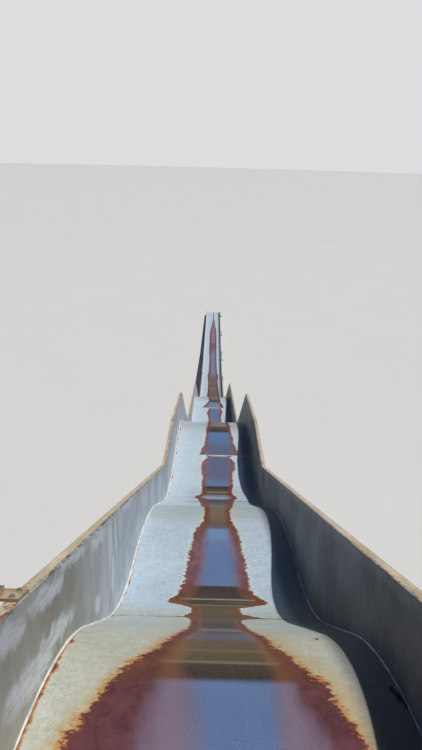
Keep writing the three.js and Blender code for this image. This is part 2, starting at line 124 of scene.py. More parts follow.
def paint(colour: Feed | Rgb) -> Feed:
    """Turns a screen colour of 0 to 255 into the linear colour of a shader; a socket stays as it is.

    Args:
        colour: red, green and blue from 0 to 255, or a socket.

    Returns:
        The linear colour, or the same socket.
    """
    if isinstance(colour, Socket):
        return colour
    share = [value / 255 for value in colour]
    linear = [c / 12.92 if c <= 0.04045 else ((c + 0.055) / 1.055) ** 2.4 for c in share]
    return (*linear, 1.0)


def smooth(t: np.ndarray) -> np.ndarray:
    """Eases values from 0 to 1."""
    t = np.clip(t, 0, 1)
    return t * t * (3 - 2 * t)


def bump_at(y: np.ndarray, centre: float, half: float) -> np.ndarray:
    """A soft hump of height 1 at centre."""
    return np.exp(-(((y - centre) / half) ** 2))


def along_stops(y: np.ndarray, stops: Stops) -> np.ndarray:
    """The values at y between stops of y and value."""
    return np.interp(y, [stop[0] for stop in stops], [stop[1] for stop in stops])


def under(limits: Stops, value: float) -> float:
    """The number that goes with the first limit over value."""
    return next(number for limit, number in limits if value < limit)


def stepped(start: float, end: float) -> np.ndarray:
    """Values of y from start to end, close together near the start of the chute and wider far off.

    Args:
        start: the first y.
        end: the last y.

    Returns:
        The values of y, with both ends.
    """
    ys = [start]
    while ys[-1] < end - SHORTEST_STRIP:
        ys.append(min(ys[-1] + under(STRIPS, chute_mm(ys[-1])), end))
    return np.array(ys)


# The chute's lines


class ChuteLine:
    """The line of the bed, with every corner turned into a fine arc."""

    ARC_STEP = math.radians(0.5)

    def __init__(self, corners: Sequence[Point]) -> None:
        """Works the line out from the y, z and radius of each corner, in millimetres.

        Args:
            corners: y, z and radius of each corner.
        """
        points: list[Vector] = []
        for i, (y, z, radius) in enumerate(corners):
            here = Vector((y, z))
            if not radius:
                points.append(here)
                continue
            inward = (here - Vector(corners[i - 1][:2])).normalized()
            outward = (Vector(corners[i + 1][:2]) - here).normalized()
            turn = math.atan2(outward.y, outward.x) - math.atan2(inward.y, inward.x)
            start = here - inward * radius * math.tan(abs(turn) / 2)
            centre = start + Vector((-inward.y, inward.x)) * math.copysign(radius, turn)
            steps = math.ceil(abs(turn) / self.ARC_STEP)
            for s in range(steps + 1):
                points.append(centre + Matrix.Rotation(turn * s / steps, 2) @ (start - centre))
        self.ys = np.array([model_y(p.x) for p in points])
        self.zs = np.array([p.y * MM for p in points])

    def height(self, y: np.ndarray | float) -> np.ndarray:
        """The height of the bed's top face at y."""
        return np.interp(y, self.ys, self.zs)

    def facing(self, y: np.ndarray | float) -> np.ndarray:
        """The way that the bed's top face looks at y, as unit vectors.

        Args:
            y: one y or several.

        Returns:
            One unit vector for each y.
        """
        reach = 0.004
        rise = (self.height(y + reach) - self.height(y - reach)) / (2 * reach)
        way = np.stack([np.zeros_like(rise), -rise, np.ones_like(rise)], -1)
        return way / np.linalg.norm(way, axis=-1, keepdims=True)


class WallLine:
    """The straight stretches of the top and bottom edges of the side walls."""

    def __init__(self, bends: Sequence[Point]) -> None:
        """Keeps y and the heights of both edges, given in millimetres, in metres of the model.

        Args:
            bends: y, top and bottom at each bend.
        """
        self.ys = np.array([model_y(b[0]) for b in bends])
        self.tops = np.array([b[1] * MM for b in bends])
        self.bottoms = np.array([b[2] * MM for b in bends])

    def top(self, y: float) -> float:
        """The height of the wall's top edge at y."""
        return float(np.interp(y, self.ys, self.tops))

    def bottom(self, y: float) -> float:
        """The height of the wall's bottom edge at y."""
        return float(np.interp(y, self.ys, self.bottoms))


BED_LINE = ChuteLine(BED_CORNERS_MM)
WALL_LINE = WallLine(WALL_BENDS_MM)


# Node graphs


class Graph:
    """Adds nodes to one node tree and joins them."""

    def __init__(self, tree: bpy.types.NodeTree) -> None:
        """Works on the given tree."""
        self.tree = tree

    def add(
        self, kind: str, inputs: dict[str | int, Feed] | None = None, **settings: object
    ) -> bpy.types.Node:
        """Adds a node.

        Args:
            kind: Blender's name for the kind of node.
            inputs: a value or another node's output for each named or numbered input.
            **settings: properties of the node, set before its inputs.

        Returns:
            The new node.
        """
        node = self.tree.nodes.new(kind)
        for name, value in settings.items():
            setattr(node, name, value)
        for socket, value in (inputs or {}).items():
            self.feed(node.inputs[socket], value)
        return node

    def feed(self, socket: Socket, value: Feed) -> None:
        """Links an output to a socket, or sets the socket's own value.

        Args:
            socket: the input.
            value: a value, or another node's output.
        """
        if isinstance(value, Socket):
            self.tree.links.new(value, socket)
        else:
            socket.default_value = value

    def math(self, operation: str, *values: Feed) -> Socket:
        """The result of one step of arithmetic on up to three values."""
        return self.add("ShaderNodeMath", dict(enumerate(values)), operation=operation).outputs[0]

    def times(self, first: Feed, *others: Feed) -> Feed:
        """The product of values."""
        return reduce(partial(self.math, "MULTIPLY"), others, first)

    def plus(self, first: Feed, *others: Feed) -> Feed:
        """The sum of values."""
        return reduce(partial(self.math, "ADD"), others, first)

    def minus(self, a: Feed, b: Feed) -> Socket:
        """The difference of two values."""
        return self.math("SUBTRACT", a, b)

    def fit(self, value: Feed, scale: Feed, offset: Feed) -> Socket:
        """A value times scale, plus offset."""
        return self.math("MULTIPLY_ADD", value, scale, offset)

    def vector(self, operation: str, a: Feed, b: Feed) -> bpy.types.Node:
        """One step of vector arithmetic, as its node."""
        return self.add("ShaderNodeVectorMath", {0: a, 1: b}, operation=operation)

    def rise(self, value: Feed, low: Feed, high: Feed) -> Socket:
        """A smooth step from 0 to 1 while value goes from low to high."""
        inputs = {"Value": value, "From Min": low, "From Max": high}
        return self.add("ShaderNodeMapRange", inputs, interpolation_type="SMOOTHSTEP").outputs["Result"]

    def blend(self, share: Feed, a: Feed | Rgb, b: Feed | Rgb) -> Socket:
        """Colour a turning into colour b as share goes from 0 to 1."""
        inputs = {0: share, 6: paint(a), 7: paint(b)}
        return self.add("ShaderNodeMix", inputs, data_type="RGBA").outputs[2]

    def between(self, share: Feed, a: Feed, b: Feed) -> Socket:
        """Number a turning into number b as share goes from 0 to 1."""
        return self.add("ShaderNodeMix", {0: share, 2: a, 3: b}, data_type="FLOAT").outputs[0]

    def tint(self, colour: Feed | Rgb, factor: Feed) -> Socket:
        """A colour made lighter or darker by a factor."""
        base = colour if isinstance(colour, Socket) else paint(colour)[:3]
        return self.add("ShaderNodeVectorMath", {0: base, "Scale": factor}, operation="SCALE").outputs[0]

    def laid(self, colour: Feed, over: Feed | Rgb, *shares: Feed) -> Socket:
        """A colour with another one laid over it, as strongly as the product of shares."""
        return self.blend(self.times(*shares), colour, over)

    def noise(
        self, place: Feed, scale: Feed, detail: float = 2.0, rough: float = 0.5, stretch: Point = EVEN
    ) -> Socket:
        """Cloudy noise from 0 to 1, finer along an axis where stretch is larger.

        Args:
            place: where the noise is read.
            scale: how fine it is.
            detail: how many finer layers it has.
            rough: how strong the finer layers are.
            stretch: a factor for each axis.

        Returns:
            The noise.
        """
        if stretch != EVEN:
            place = self.vector("MULTIPLY", place, stretch).outputs[0]
        inputs = {"Vector": place, "Scale": scale, "Detail": detail, "Roughness": rough}
        return self.add("ShaderNodeTexNoise", inputs).outputs[0]

    def patches(self, noise: Sequence, low: float, high: float) -> Socket:
        """Noise, of the values given, as patches with edges: a smooth step from low to high."""
        return self.rise(self.noise(*noise), low, high)

    @cached_property
    def here(self) -> Socket:
        """The point on the piece, in the model's own coordinates."""
        return self.add("ShaderNodeTexCoord").outputs["Object"]

    @cached_property
    def parts(self) -> list[Socket]:
        """The point's x, y and z."""
        return self.split(self.here)

    def split(self, place: Feed) -> list[Socket]:
        """The three parts of a vector."""
        return list(self.add("ShaderNodeSeparateXYZ", {0: place}).outputs)

    def joined(self, x: Feed, y: Feed, z: Feed) -> Socket:
        """A vector made from three numbers."""
        return self.add("ShaderNodeCombineXYZ", {0: x, 1: y, 2: z}).outputs[0]

    def kept(self, name: str, output: str = "Fac") -> Socket:
        """A number or colour that the piece keeps at its points."""
        return self.add("ShaderNodeAttribute", attribute_name=name).outputs[output]


def effect(inputs: dict[str, float | Point], *outputs: str) -> Callable:
    """Makes a function the maker of a shader group, which is built once and placed by calling it.

    Args:
        inputs: the first value of each input; three numbers make it a vector.
        *outputs: the outputs' names; Color is a colour and the others are numbers.

    Returns:
        What turns the function into one that takes a graph and values for the group's inputs, places
        the group there and returns its outputs.
    """

    def decorate(build: Callable) -> Callable:
        """Keeps the function that adds the group's own nodes.

        Args:
            build: the function.

        Returns:
            What places the group.
        """

        @cache
        def tree() -> bpy.types.NodeTree:
            """Builds the group, the first time that it is placed.

            Returns:
                The group's tree.
            """
            made = bpy.data.node_groups.new(build.__name__, "ShaderNodeTree")
            for title, value in inputs.items():
                kind = "NodeSocketVector" if isinstance(value, tuple) else "NodeSocketFloat"
                made.interface.new_socket(title, in_out="INPUT", socket_type=kind).default_value = value
            for title in outputs:
                kind = "NodeSocketColor" if title == "Color" else "NodeSocketFloat"
                made.interface.new_socket(title, in_out="OUTPUT", socket_type=kind)
            g = Graph(made)
            sources = g.add("NodeGroupInput").outputs
            ends = g.add("NodeGroupOutput").inputs
            for title, value in zip(outputs, build(g, *[sources[title] for title in inputs])):
                g.feed(ends[title], value)
            return made

        def placed(g: Graph, **values: Feed) -> list[Socket]:
            """Places the group and feeds its inputs; a place that is left out is the graph's own.

            Args:
                g: the graph.
                **values: a value or another node's output for each input, named with underscores.

            Returns:
                The group's outputs.
            """
            node = g.add("ShaderNodeGroup", node_tree=tree())
            if "Place" in inputs:
                values.setdefault("place", g.here)
            for name, value in values.items():
                g.feed(node.inputs[name.replace("_", " ").capitalize()], value)
            return list(node.outputs)

        return placed

    return decorate


@effect({"Place": NOWHERE, "Scale": 10.0, "Amount": 1.0, "Stretch": EVEN}, "Value")
def breakup(g: Graph, place: Socket, scale: Socket, amount: Socket, stretch: Socket) -> list[Socket]:
    """Uneven noise around 0, for edges that wander and for mottled tones."""
    cloud = g.noise(g.vector("MULTIPLY", place, stretch).outputs[0], scale, 3.0, 0.6)
    return [g.times(g.minus(cloud, 0.5), 2.6, amount)]


@effect({"Place": NOWHERE, "Width": 0.003, "Scale": 60.0, "Reach": 1.0}, "Mask")
def edge_wear(g: Graph, place: Socket, width: Socket, scale: Socket, reach: Socket) -> list[Socket]:
    """A mask of rubbed edges: where the rounded normal leaves the true one, broken up by noise.

    Args:
        g: the graph.
        place: the point.
        width: how wide the rubbed edge is.
        scale: how fine its noise is.
        reach: how much it is rubbed.

    Returns:
        The mask.
    """
    rounded = g.add("ShaderNodeBevel", {"Radius": width}, samples=4).outputs[0]
    true = g.add("ShaderNodeNewGeometry").outputs["Normal"]
    bend = g.minus(1.0, g.vector("DOT_PRODUCT", rounded, true).outputs["Value"])
    cloud = g.noise(place, scale, 4.0, 0.65)
    return [g.rise(g.plus(g.times(bend, reach, 4.0), g.minus(cloud, 1.0)), 0.0, 0.16)]


# The rust's colours: plum where it is old, orange where it is young
OLD_RUST = ((66, 36, 40), (104, 62, 52))
YOUNG_RUST = ((142, 78, 44), (188, 120, 62))


@effect({"Place": NOWHERE, "Scale": 40.0, "Amount": 0.5, "Fresh": 0.3}, "Color", "Mask", "Height")
def rust(g: Graph, place: Socket, scale: Socket, amount: Socket, fresh: Socket) -> list[Socket]:
    """Rust: a colour between plum, red brown and orange, a mask that grows with Amount, and its height.

    Args:
        g: the graph.
        place: the point.
        scale: how fine the rust is.
        amount: how much of the piece rusts.
        fresh: how orange it is.

    Returns:
        The colour, the mask and the height.
    """
    cloud = g.noise(place, scale, 6.0, 0.68)
    grain = g.noise(place, g.times(scale, 7.0), 3.0, 0.6)
    dark = g.blend(g.rise(grain, 0.3, 0.7), *OLD_RUST)
    bright = g.blend(g.rise(grain, 0.35, 0.7), *YOUNG_RUST)
    young = g.rise(g.plus(cloud, fresh, -0.5), 0.38, 0.62)
    mask = g.rise(g.plus(cloud, amount, -1.0), 0.0, 0.1)
    return [g.blend(young, dark, bright), mask, g.plus(grain, cloud)]


@effect({"Place": NOWHERE, "Narrowness": 24.0, "Length": 1.5, "Amount": 0.5}, "Mask")
def runs(g: Graph, place: Socket, narrowness: Socket, length: Socket, amount: Socket) -> list[Socket]:
    """Marks that water leaves as it runs down: narrow along the slide and long downwards.

    Args:
        g: the graph.
        place: the point.
        narrowness: how narrow the marks are.
        length: how short they are.
        amount: how many there are.

    Returns:
        The mask.
    """
    x, y, z = g.split(place)
    drops = g.joined(g.times(g.plus(x, y), narrowness), g.times(x, 3.0), g.times(z, length))
    return [g.rise(g.plus(g.noise(drops, 1.0, 4.0, 0.62), amount, -1.0), -0.05, 0.22)]


@effect({"Place": NOWHERE, "Scale": 90.0}, "Tone")
def spangle(g: Graph, place: Socket, scale: Socket) -> list[Socket]:
    """The crystals of hot zinc: patches a few millimetres wide, each a little lighter or darker.

    Args:
        g: the graph.
        place: the point.
        scale: how small the crystals are.

    Returns:
        The tone.
    """
    shift = g.add("ShaderNodeTexNoise", {"Vector": place, "Scale": 60.0}).outputs[1]
    bent = g.vector("ADD", place, g.tint(shift, 0.012)).outputs[0]
    cells = g.add("ShaderNodeTexVoronoi", {"Vector": bent, "Scale": scale}).outputs["Color"]
    return [g.split(cells)[0]]


@effect({"Place": NOWHERE, "Amount": 0.5}, "Mask")
def scratches(g: Graph, place: Socket, amount: Socket) -> list[Socket]:
    """Fine scratches along the slide, from shoes and from sand."""
    cloud = g.noise(place, 1.0, 3.0, 0.7, (420.0, 2.4, 2.4))
    return [g.rise(g.plus(cloud, amount, -1.0), 0.02, 0.2)]


@effect({"Place": NOWHERE}, "Depth")
def below_wall_top(g: Graph, place: Socket) -> list[Socket]:
    """How far a point lies below the wall's top edge, whose bends are summed one by one.

    Args:
        g: the graph.
        place: the point.

    Returns:
        The depth in metres.
    """
    _, y, z = g.split(place)
    slopes = [float(s) for s in np.diff(WALL_LINE.tops) / np.diff(WALL_LINE.ys)]
    top = g.fit(g.minus(y, float(WALL_LINE.ys[0])), slopes[0], float(WALL_LINE.tops[0]))
    for i in range(1, len(slopes)):
        past = g.math("MAXIMUM", g.minus(y, float(WALL_LINE.ys[i])), 0.0)
        top = g.fit(past, slopes[i] - slopes[i - 1], top)
    return [g.minus(top, z)]


@effect(
    {
        "Along": 0.0, "Depth": 0.0, "Centre along": 0.0, "Centre depth": 0.1, "Half length": 0.1,
        "Half depth": 0.05, "Strength": 1.0,
    },
    "Mask",
)
def smear(
    g: Graph, along: Socket, depth: Socket, centre: Socket, middle: Socket, half_length: Socket,
    half_depth: Socket, strength: Socket,
) -> list[Socket]:
    """One soft oval smear on a wall, at a distance along the slide and a depth below the top edge.

    Args:
        g: the graph.
        along: the point's y.
        depth: the point's depth below the top edge.
        centre: the smear's y.
        middle: the smear's depth.
        half_length: half its length.
        half_depth: half its height.
        strength: how strong it is.

    Returns:
        The mask.
    """
    sideways = g.math("DIVIDE", g.minus(along, centre), half_length)
    spot = g.joined(sideways, g.math("DIVIDE", g.minus(depth, middle), half_depth), 0.0)
    far = g.vector("LENGTH", spot, NOWHERE).outputs["Value"]
    return [g.times(g.rise(far, 1.35, 0.45), strength)]


# Finishes


@dataclass(frozen=True)
class Surface:
    """What the shader of a finish takes at each point."""

    colour: Feed
    rough: Feed
    metal: Feed
    height: Feed | None = None
    relief: float = 0.001
    sheen: float = 0.5


@dataclass(frozen=True)
class Finish:
    """A finish: its name, and the nodes that make its material."""

    name: str

    def material(self) -> bpy.types.Material:
        """The finish as a material, the same one each time.

        Returns:
            The material.
        """
        material = bpy.data.materials.get(self.name)
        if material:
            return material
        material = bpy.data.materials.new(self.name)
        material.use_nodes = True
        g = Graph(material.node_tree)
        shader = material.node_tree.nodes["Principled BSDF"].inputs
        surface = self.surface(g)
        g.feed(shader["Base Color"], surface.colour)
        g.feed(shader["Roughness"], surface.rough)
        g.feed(shader["Metallic"], surface.metal)
        g.feed(shader["Specular IOR Level"], surface.sheen)
        if surface.height is not None:
            inputs = {"Strength": 1.0, "Distance": surface.relief, "Height": surface.height}
            g.feed(shader["Normal"], g.add("ShaderNodeBump", inputs).outputs[0])
        return material

    def surface(self, g: Graph) -> Surface:
        """Adds the finish's nodes."""
        raise NotImplementedError


@dataclass(frozen=True)
class Mark:
    """A small dark mark on the bed, in millimetres."""

    x_mm: float
    y_mm: float
    half_width_mm: float
    half_length_mm: float


@dataclass(frozen=True)
class WornStripFinish(Finish):
    """The bed: pale zinc with a polished strip down the middle, rusted along its jagged edges."""

    name: str = "worn_strip_steel"
    tooth: float = 0.0085
    lobe: float = 0.0065
    hair: float = 0.0075
    crumb: float = 0.0042
    halo_left: float = -0.04
    halo_right: float = -0.085
    stain_start: float = 0.2965
    marks: tuple[Mark, ...] = (
        Mark(202, 628, 4.6, 6.5), Mark(286, 428, 5, 14), Mark(291, 410, 6, 16), Mark(296, 394, 4, 15),
        Mark(-120, 1310, 2.5, 2.5), Mark(165, 1515, 2, 2), Mark(176, 690, 1.6, 2), Mark(188, 742, 1.4, 2),
    )
    # What lies over the zinc, with a painted highlight beside the strip and painted shade along the right
    # wall
    chalk: Rgb = (222, 228, 228)
    scuffs: Rgb = (112, 128, 146)
    halo_outer: Rgb = (201, 172, 112)
    halo_inner: Rgb = (198, 138, 70)
    crumb_tone: Rgb = (150, 88, 50)
    lit_edge: Rgb = (236, 232, 208)
    streaks: Rgb = (108, 120, 132)
    # Painted shade: the right wall's shadow on the bed
    right_wall_shade: Rgb = (56, 68, 88)
    pits: Rgb = (112, 104, 84)
    lap_stain: Rgb = (108, 84, 70)
    # What lies over the strip, with its painted glint lines
    warm_polish: Rgb = (160, 104, 68)
    ember: Rgb = (122, 62, 48)
    fresh_edge: tuple[Rgb, Rgb] = ((104, 50, 32), (176, 96, 50))
    scratched: Rgb = (176, 178, 188)
    painted_pale_glint: Rgb = (192, 176, 128)
    painted_dark_glint: Rgb = (42, 32, 22)
    # Rust in the corner, and the marks
    stain_pale: tuple[Rgb, Rgb] = ((182, 118, 70), (214, 160, 104))
    stain_deep: Rgb = (124, 70, 46)
    mark_tone: Rgb = (26, 22, 22)

    def surface(self, g: Graph) -> Surface:
        """Adds the finish's nodes, which read what the bed's sheets keep at their points.

        Args:
            g: the graph.

        Returns:
            What the shader takes.
        """
        x = g.parts[0]
        left, right = g.kept("strip_left"), g.kept("strip_right")
        inside = g.math("MINIMUM", g.minus(x, left), g.minus(right, x))
        ragged = g.plus(inside, self.wander(g))
        half = g.math("MAXIMUM", g.times(g.minus(right, left), 0.5), 0.004)
        strip = g.rise(ragged, -0.0006, 0.0008)
        soft = breakup(g, scale=11.0, stretch=(1.0, 0.35, 1.0), amount=0.13)[0]
        share = g.plus(g.math("DIVIDE", inside, half), soft)
        warmth = g.kept("warmth")
        lopsided = g.between(g.rise(x, -0.03, 0.03), g.fit(warmth, 0.24, 1.08), g.fit(warmth, -0.16, 0.94))
        rim = g.times(g.kept("rim_share"), lopsided)
        polished = g.rise(share, g.times(rim, 0.66), g.fit(rim, 1.6, 0.14))

        pale, pale_height = self.pale(g, ragged)
        worn = g.blend(polished, self.rusted(g, ragged), self.core(g))
        glow = g.times(polished, g.minus(1.0, polished), warmth, 4.0)
        warm = g.blend(0.5, g.kept("polish_reflection_tone", "Color"), self.warm_polish)
        worn = g.blend(g.times(glow, 0.75), worn, warm)
        colour = g.blend(strip, pale, worn)
        colour = self.corner_stain(g, colour)
        colour = self.marked(g, colour)

        rough = g.between(strip, 0.5, g.between(polished, 0.66, 0.3))
        metal = g.between(strip, 0.2, g.between(polished, 0.0, 0.22))
        grain = g.noise(g.here, 320.0, 3.0, 0.6)
        crust = g.times(g.minus(1.0, polished), grain, strip)
        return Surface(colour, rough, metal, g.fit(crust, 0.7, pale_height), 0.0007, 0.35)

    def wander(self, g: Graph) -> Socket:
        """How far the strip's edge strays: teeth, larger lobes, fine hairs and grains.

        Args:
            g: the graph.

        Returns:
            The distance.
        """
        across = (0.6, 1.0, 1.0)
        teeth = breakup(g, scale=52.0, stretch=across, amount=self.tooth)[0]
        lobes = breakup(g, scale=15.0, stretch=across, amount=self.lobe)[0]
        hairs = breakup(g, scale=150.0, stretch=across, amount=self.hair)[0]
        crumbs = breakup(g, scale=290.0, amount=self.crumb)[0]
        return g.fit(g.plus(teeth, lobes, hairs), g.kept("raggedness"), crumbs)

    def pale(self, g: Graph, inside: Feed) -> tuple[Socket, Socket]:
        """The unworn zinc beside the strip with its amber halo, and its height.

        Args:
            g: the graph.
            inside: how far the point lies inside the strip.

        Returns:
            The colour and the height.
        """
        x, y, _ = g.parts
        clouds = breakup(g, scale=6.0, stretch=(1.0, 0.6, 1.0), amount=0.1)[0]
        blots = breakup(g, scale=42.0, stretch=(0.55, 1.0, 1.0), amount=0.12)[0]
        grit = breakup(g, scale=330.0, stretch=(1.0, 0.7, 1.0), amount=0.2)[0]
        mottle = breakup(g, scale=95.0, stretch=(1.0, 0.6, 1.0), amount=0.17)[0]
        crystal = g.fit(spangle(g, scale=130.0)[0], 0.08, 0.96)
        uneven = g.times(g.plus(clouds, blots, mottle, grit, 1.0), crystal)
        colour = g.tint(g.kept("zinc_tone", "Color"), uneven)
        chalk = g.patches((g.here, 30.0, 5.0, 0.7, (0.5, 1.0, 1.0)), 0.54, 0.72)
        colour = g.laid(colour, self.chalk, chalk, 0.34)
        patch = g.patches((g.here, 14.0, 4.0, 0.6), 0.46, 0.62)
        scuff = g.patches((g.here, 170.0, 3.0, 0.65, (0.3, 1.0, 1.0)), 0.56, 0.7)
        colour = g.laid(colour, self.scuffs, patch, scuff, 0.42)

        feather = g.noise(g.here, 70.0, 5.0, 0.7, (0.45, 1.0, 1.0))
        reach = g.plus(inside, g.fit(feather, 0.034, -0.017))
        halo = g.kept("halo")
        far = g.between(g.rise(x, -0.03, 0.03), self.halo_left, self.halo_right)
        colour = g.laid(colour, self.halo_outer, g.rise(reach, far, -0.002), halo, 0.62)
        colour = g.laid(colour, self.halo_inner, g.rise(reach, -0.014, 0.0), halo, 0.75)
        flecks = g.patches((g.here, 260.0, 3.0, 0.6), 0.52, 0.6)
        crumbs = g.times(g.rise(inside, -0.009, -0.001), g.kept("warmth"), flecks)
        colour = g.laid(colour, self.crumb_tone, crumbs, 0.75)
        lit = g.times(g.rise(inside, -0.02, -0.002), g.minus(1.0, halo))
        spots = g.patches((g.here, 85.0, 3.0, 0.6), 0.45, 0.56)
        colour = g.laid(colour, self.lit_edge, lit, spots, 0.8)
        lines = g.patches((g.here, 1.0, 3.0, 0.6, (2.5, 34.0, 12.0)), 0.48, 0.6)
        far_off = g.rise(y, model_y(2050), model_y(2350))
        close = g.times(g.rise(inside, -0.16, -0.02), g.kept("streaky"), far_off)
        colour = g.laid(colour, self.streaks, lines, close, 1.3)
        # Painted shade: a darker, bluer band along the right wall, where its shadow falls on the bed
        right_wall_shade = g.rise(g.plus(x, g.fit(clouds, 0.12, 0.0)), 0.2, 0.245)
        colour = g.laid(colour, self.right_wall_shade, right_wall_shade, 0.72)
        pits = g.patches((g.here, 210.0, 2.0, 0.5), 0.66, 0.76)
        colour = g.laid(colour, self.pits, pits, 0.5)
        creep = g.plus(g.kept("lap_rust"), g.fit(g.noise(g.here, 30.0, 4.0, 0.6), 1.1, -1.25))
        colour = g.blend(g.rise(creep, 0.0, 0.28), colour, self.lap_stain)
        return colour, g.fit(grit, 4.0, g.times(blots, 3.0))

    def rusted(self, g: Graph, inside: Feed) -> Socket:
        """The rust beside the polished middle, with a fresh orange line at its outer edge.

        Args:
            g: the graph.
            inside: how far the point lies inside the strip.

        Returns:
            The colour.
        """
        blots = g.noise(g.here, 38.0, 6.0, 0.7, (1.0, 0.7, 1.0))
        fine = g.noise(g.here, 260.0, 3.0, 0.6)
        light = g.fit(g.rise(blots, 0.32, 0.68), 0.6, g.fit(fine, 0.5, 0.46))
        body = g.tint(g.kept("rust_tone", "Color"), light)
        ember = g.times(g.patches((g.here, 90.0, 4.0, 0.7), 0.5, 0.64), g.kept("warmth"))
        body = g.blend(g.times(ember, 0.36), body, self.ember)
        outer = g.rise(g.plus(inside, g.fit(blots, 0.016, -0.008)), 0.0065, 0.0005)
        orange = g.blend(g.noise(g.here, 120.0, 4.0, 0.65), *self.fresh_edge)
        return g.blend(g.times(outer, g.kept("rust_fresh")), body, orange)

    def core(self, g: Graph) -> Socket:
        """The polished middle, in its tone at this distance, which is partly painted reflection, with painted
        glint lines across it and scratches along it.

        Args:
            g: the graph.

        Returns:
            The colour.
        """
        clouds = breakup(g, scale=8.0, stretch=(1.4, 0.7, 1.0), amount=0.1)[0]
        tone = g.tint(g.kept("polish_reflection_tone", "Color"), g.plus(clouds, 1.0))
        tone = g.blend(g.times(scratches(g, amount=0.5)[0], 0.07), tone, self.scratched)
        # Painted glints: pale and dark reflection lines across the strip
        lines = g.noise(g.here, 1.0, 4.0, 0.65, (4.0, 150.0, 60.0))
        streaky = g.kept("streaky")
        tone = g.blend(g.times(g.rise(lines, 0.57, 0.73), streaky), tone, self.painted_pale_glint)
        return g.blend(g.times(g.rise(lines, 0.46, 0.3), streaky), tone, self.painted_dark_glint)

    def corner_stain(self, g: Graph, colour: Feed) -> Socket:
        """Rust that creeps from the corner under the left wall, as wide as the sheets say.

        Args:
            g: the graph.
            colour: the colour so far.

        Returns:
            The colour with the stain.
        """
        patches = g.noise(g.here, 60.0, 5.0, 0.7, (0.4, 1.0, 1.0))
        width = g.plus(g.kept("corner_rust"), g.fit(patches, 0.012, -0.007))
        reach = g.minus(width, g.plus(g.parts[0], self.stain_start))
        stain = g.blend(g.noise(g.here, 150.0, 3.0, 0.6), *self.stain_pale)
        rusty = g.blend(g.rise(reach, 0.001, 0.006), stain, self.stain_deep)
        return g.blend(g.rise(reach, -0.0008, 0.0012), colour, rusty)

    def marked(self, g: Graph, colour: Feed) -> Socket:
        """Small dark marks on the sheets.

        Args:
            g: the graph.
            colour: the colour so far.

        Returns:
            The colour with the marks.
        """
        x, y, _ = g.parts
        ragged = breakup(g, scale=150.0, amount=0.5)[0]
        total: Feed = 0.0
        for mark in self.marks:
            across = g.times(g.minus(x, mark.x_mm * MM), 1 / (mark.half_width_mm * MM))
            along = g.times(g.minus(y, model_y(mark.y_mm)), 1 / (mark.half_length_mm * MM))
            far = g.vector("LENGTH", g.joined(across, along, 0.0), NOWHERE).outputs["Value"]
            total = g.math("MAXIMUM", total, g.rise(g.plus(far, ragged), 1.1, 0.7))
        return g.blend(g.times(total, 0.92), colour, self.mark_tone)


@dataclass(frozen=True)
class Smear:
    """A pale smear on the inside of the left wall."""

    y_mm: float
    depth_mm: float
    half_length_mm: float
    half_depth_mm: float
    strength: float


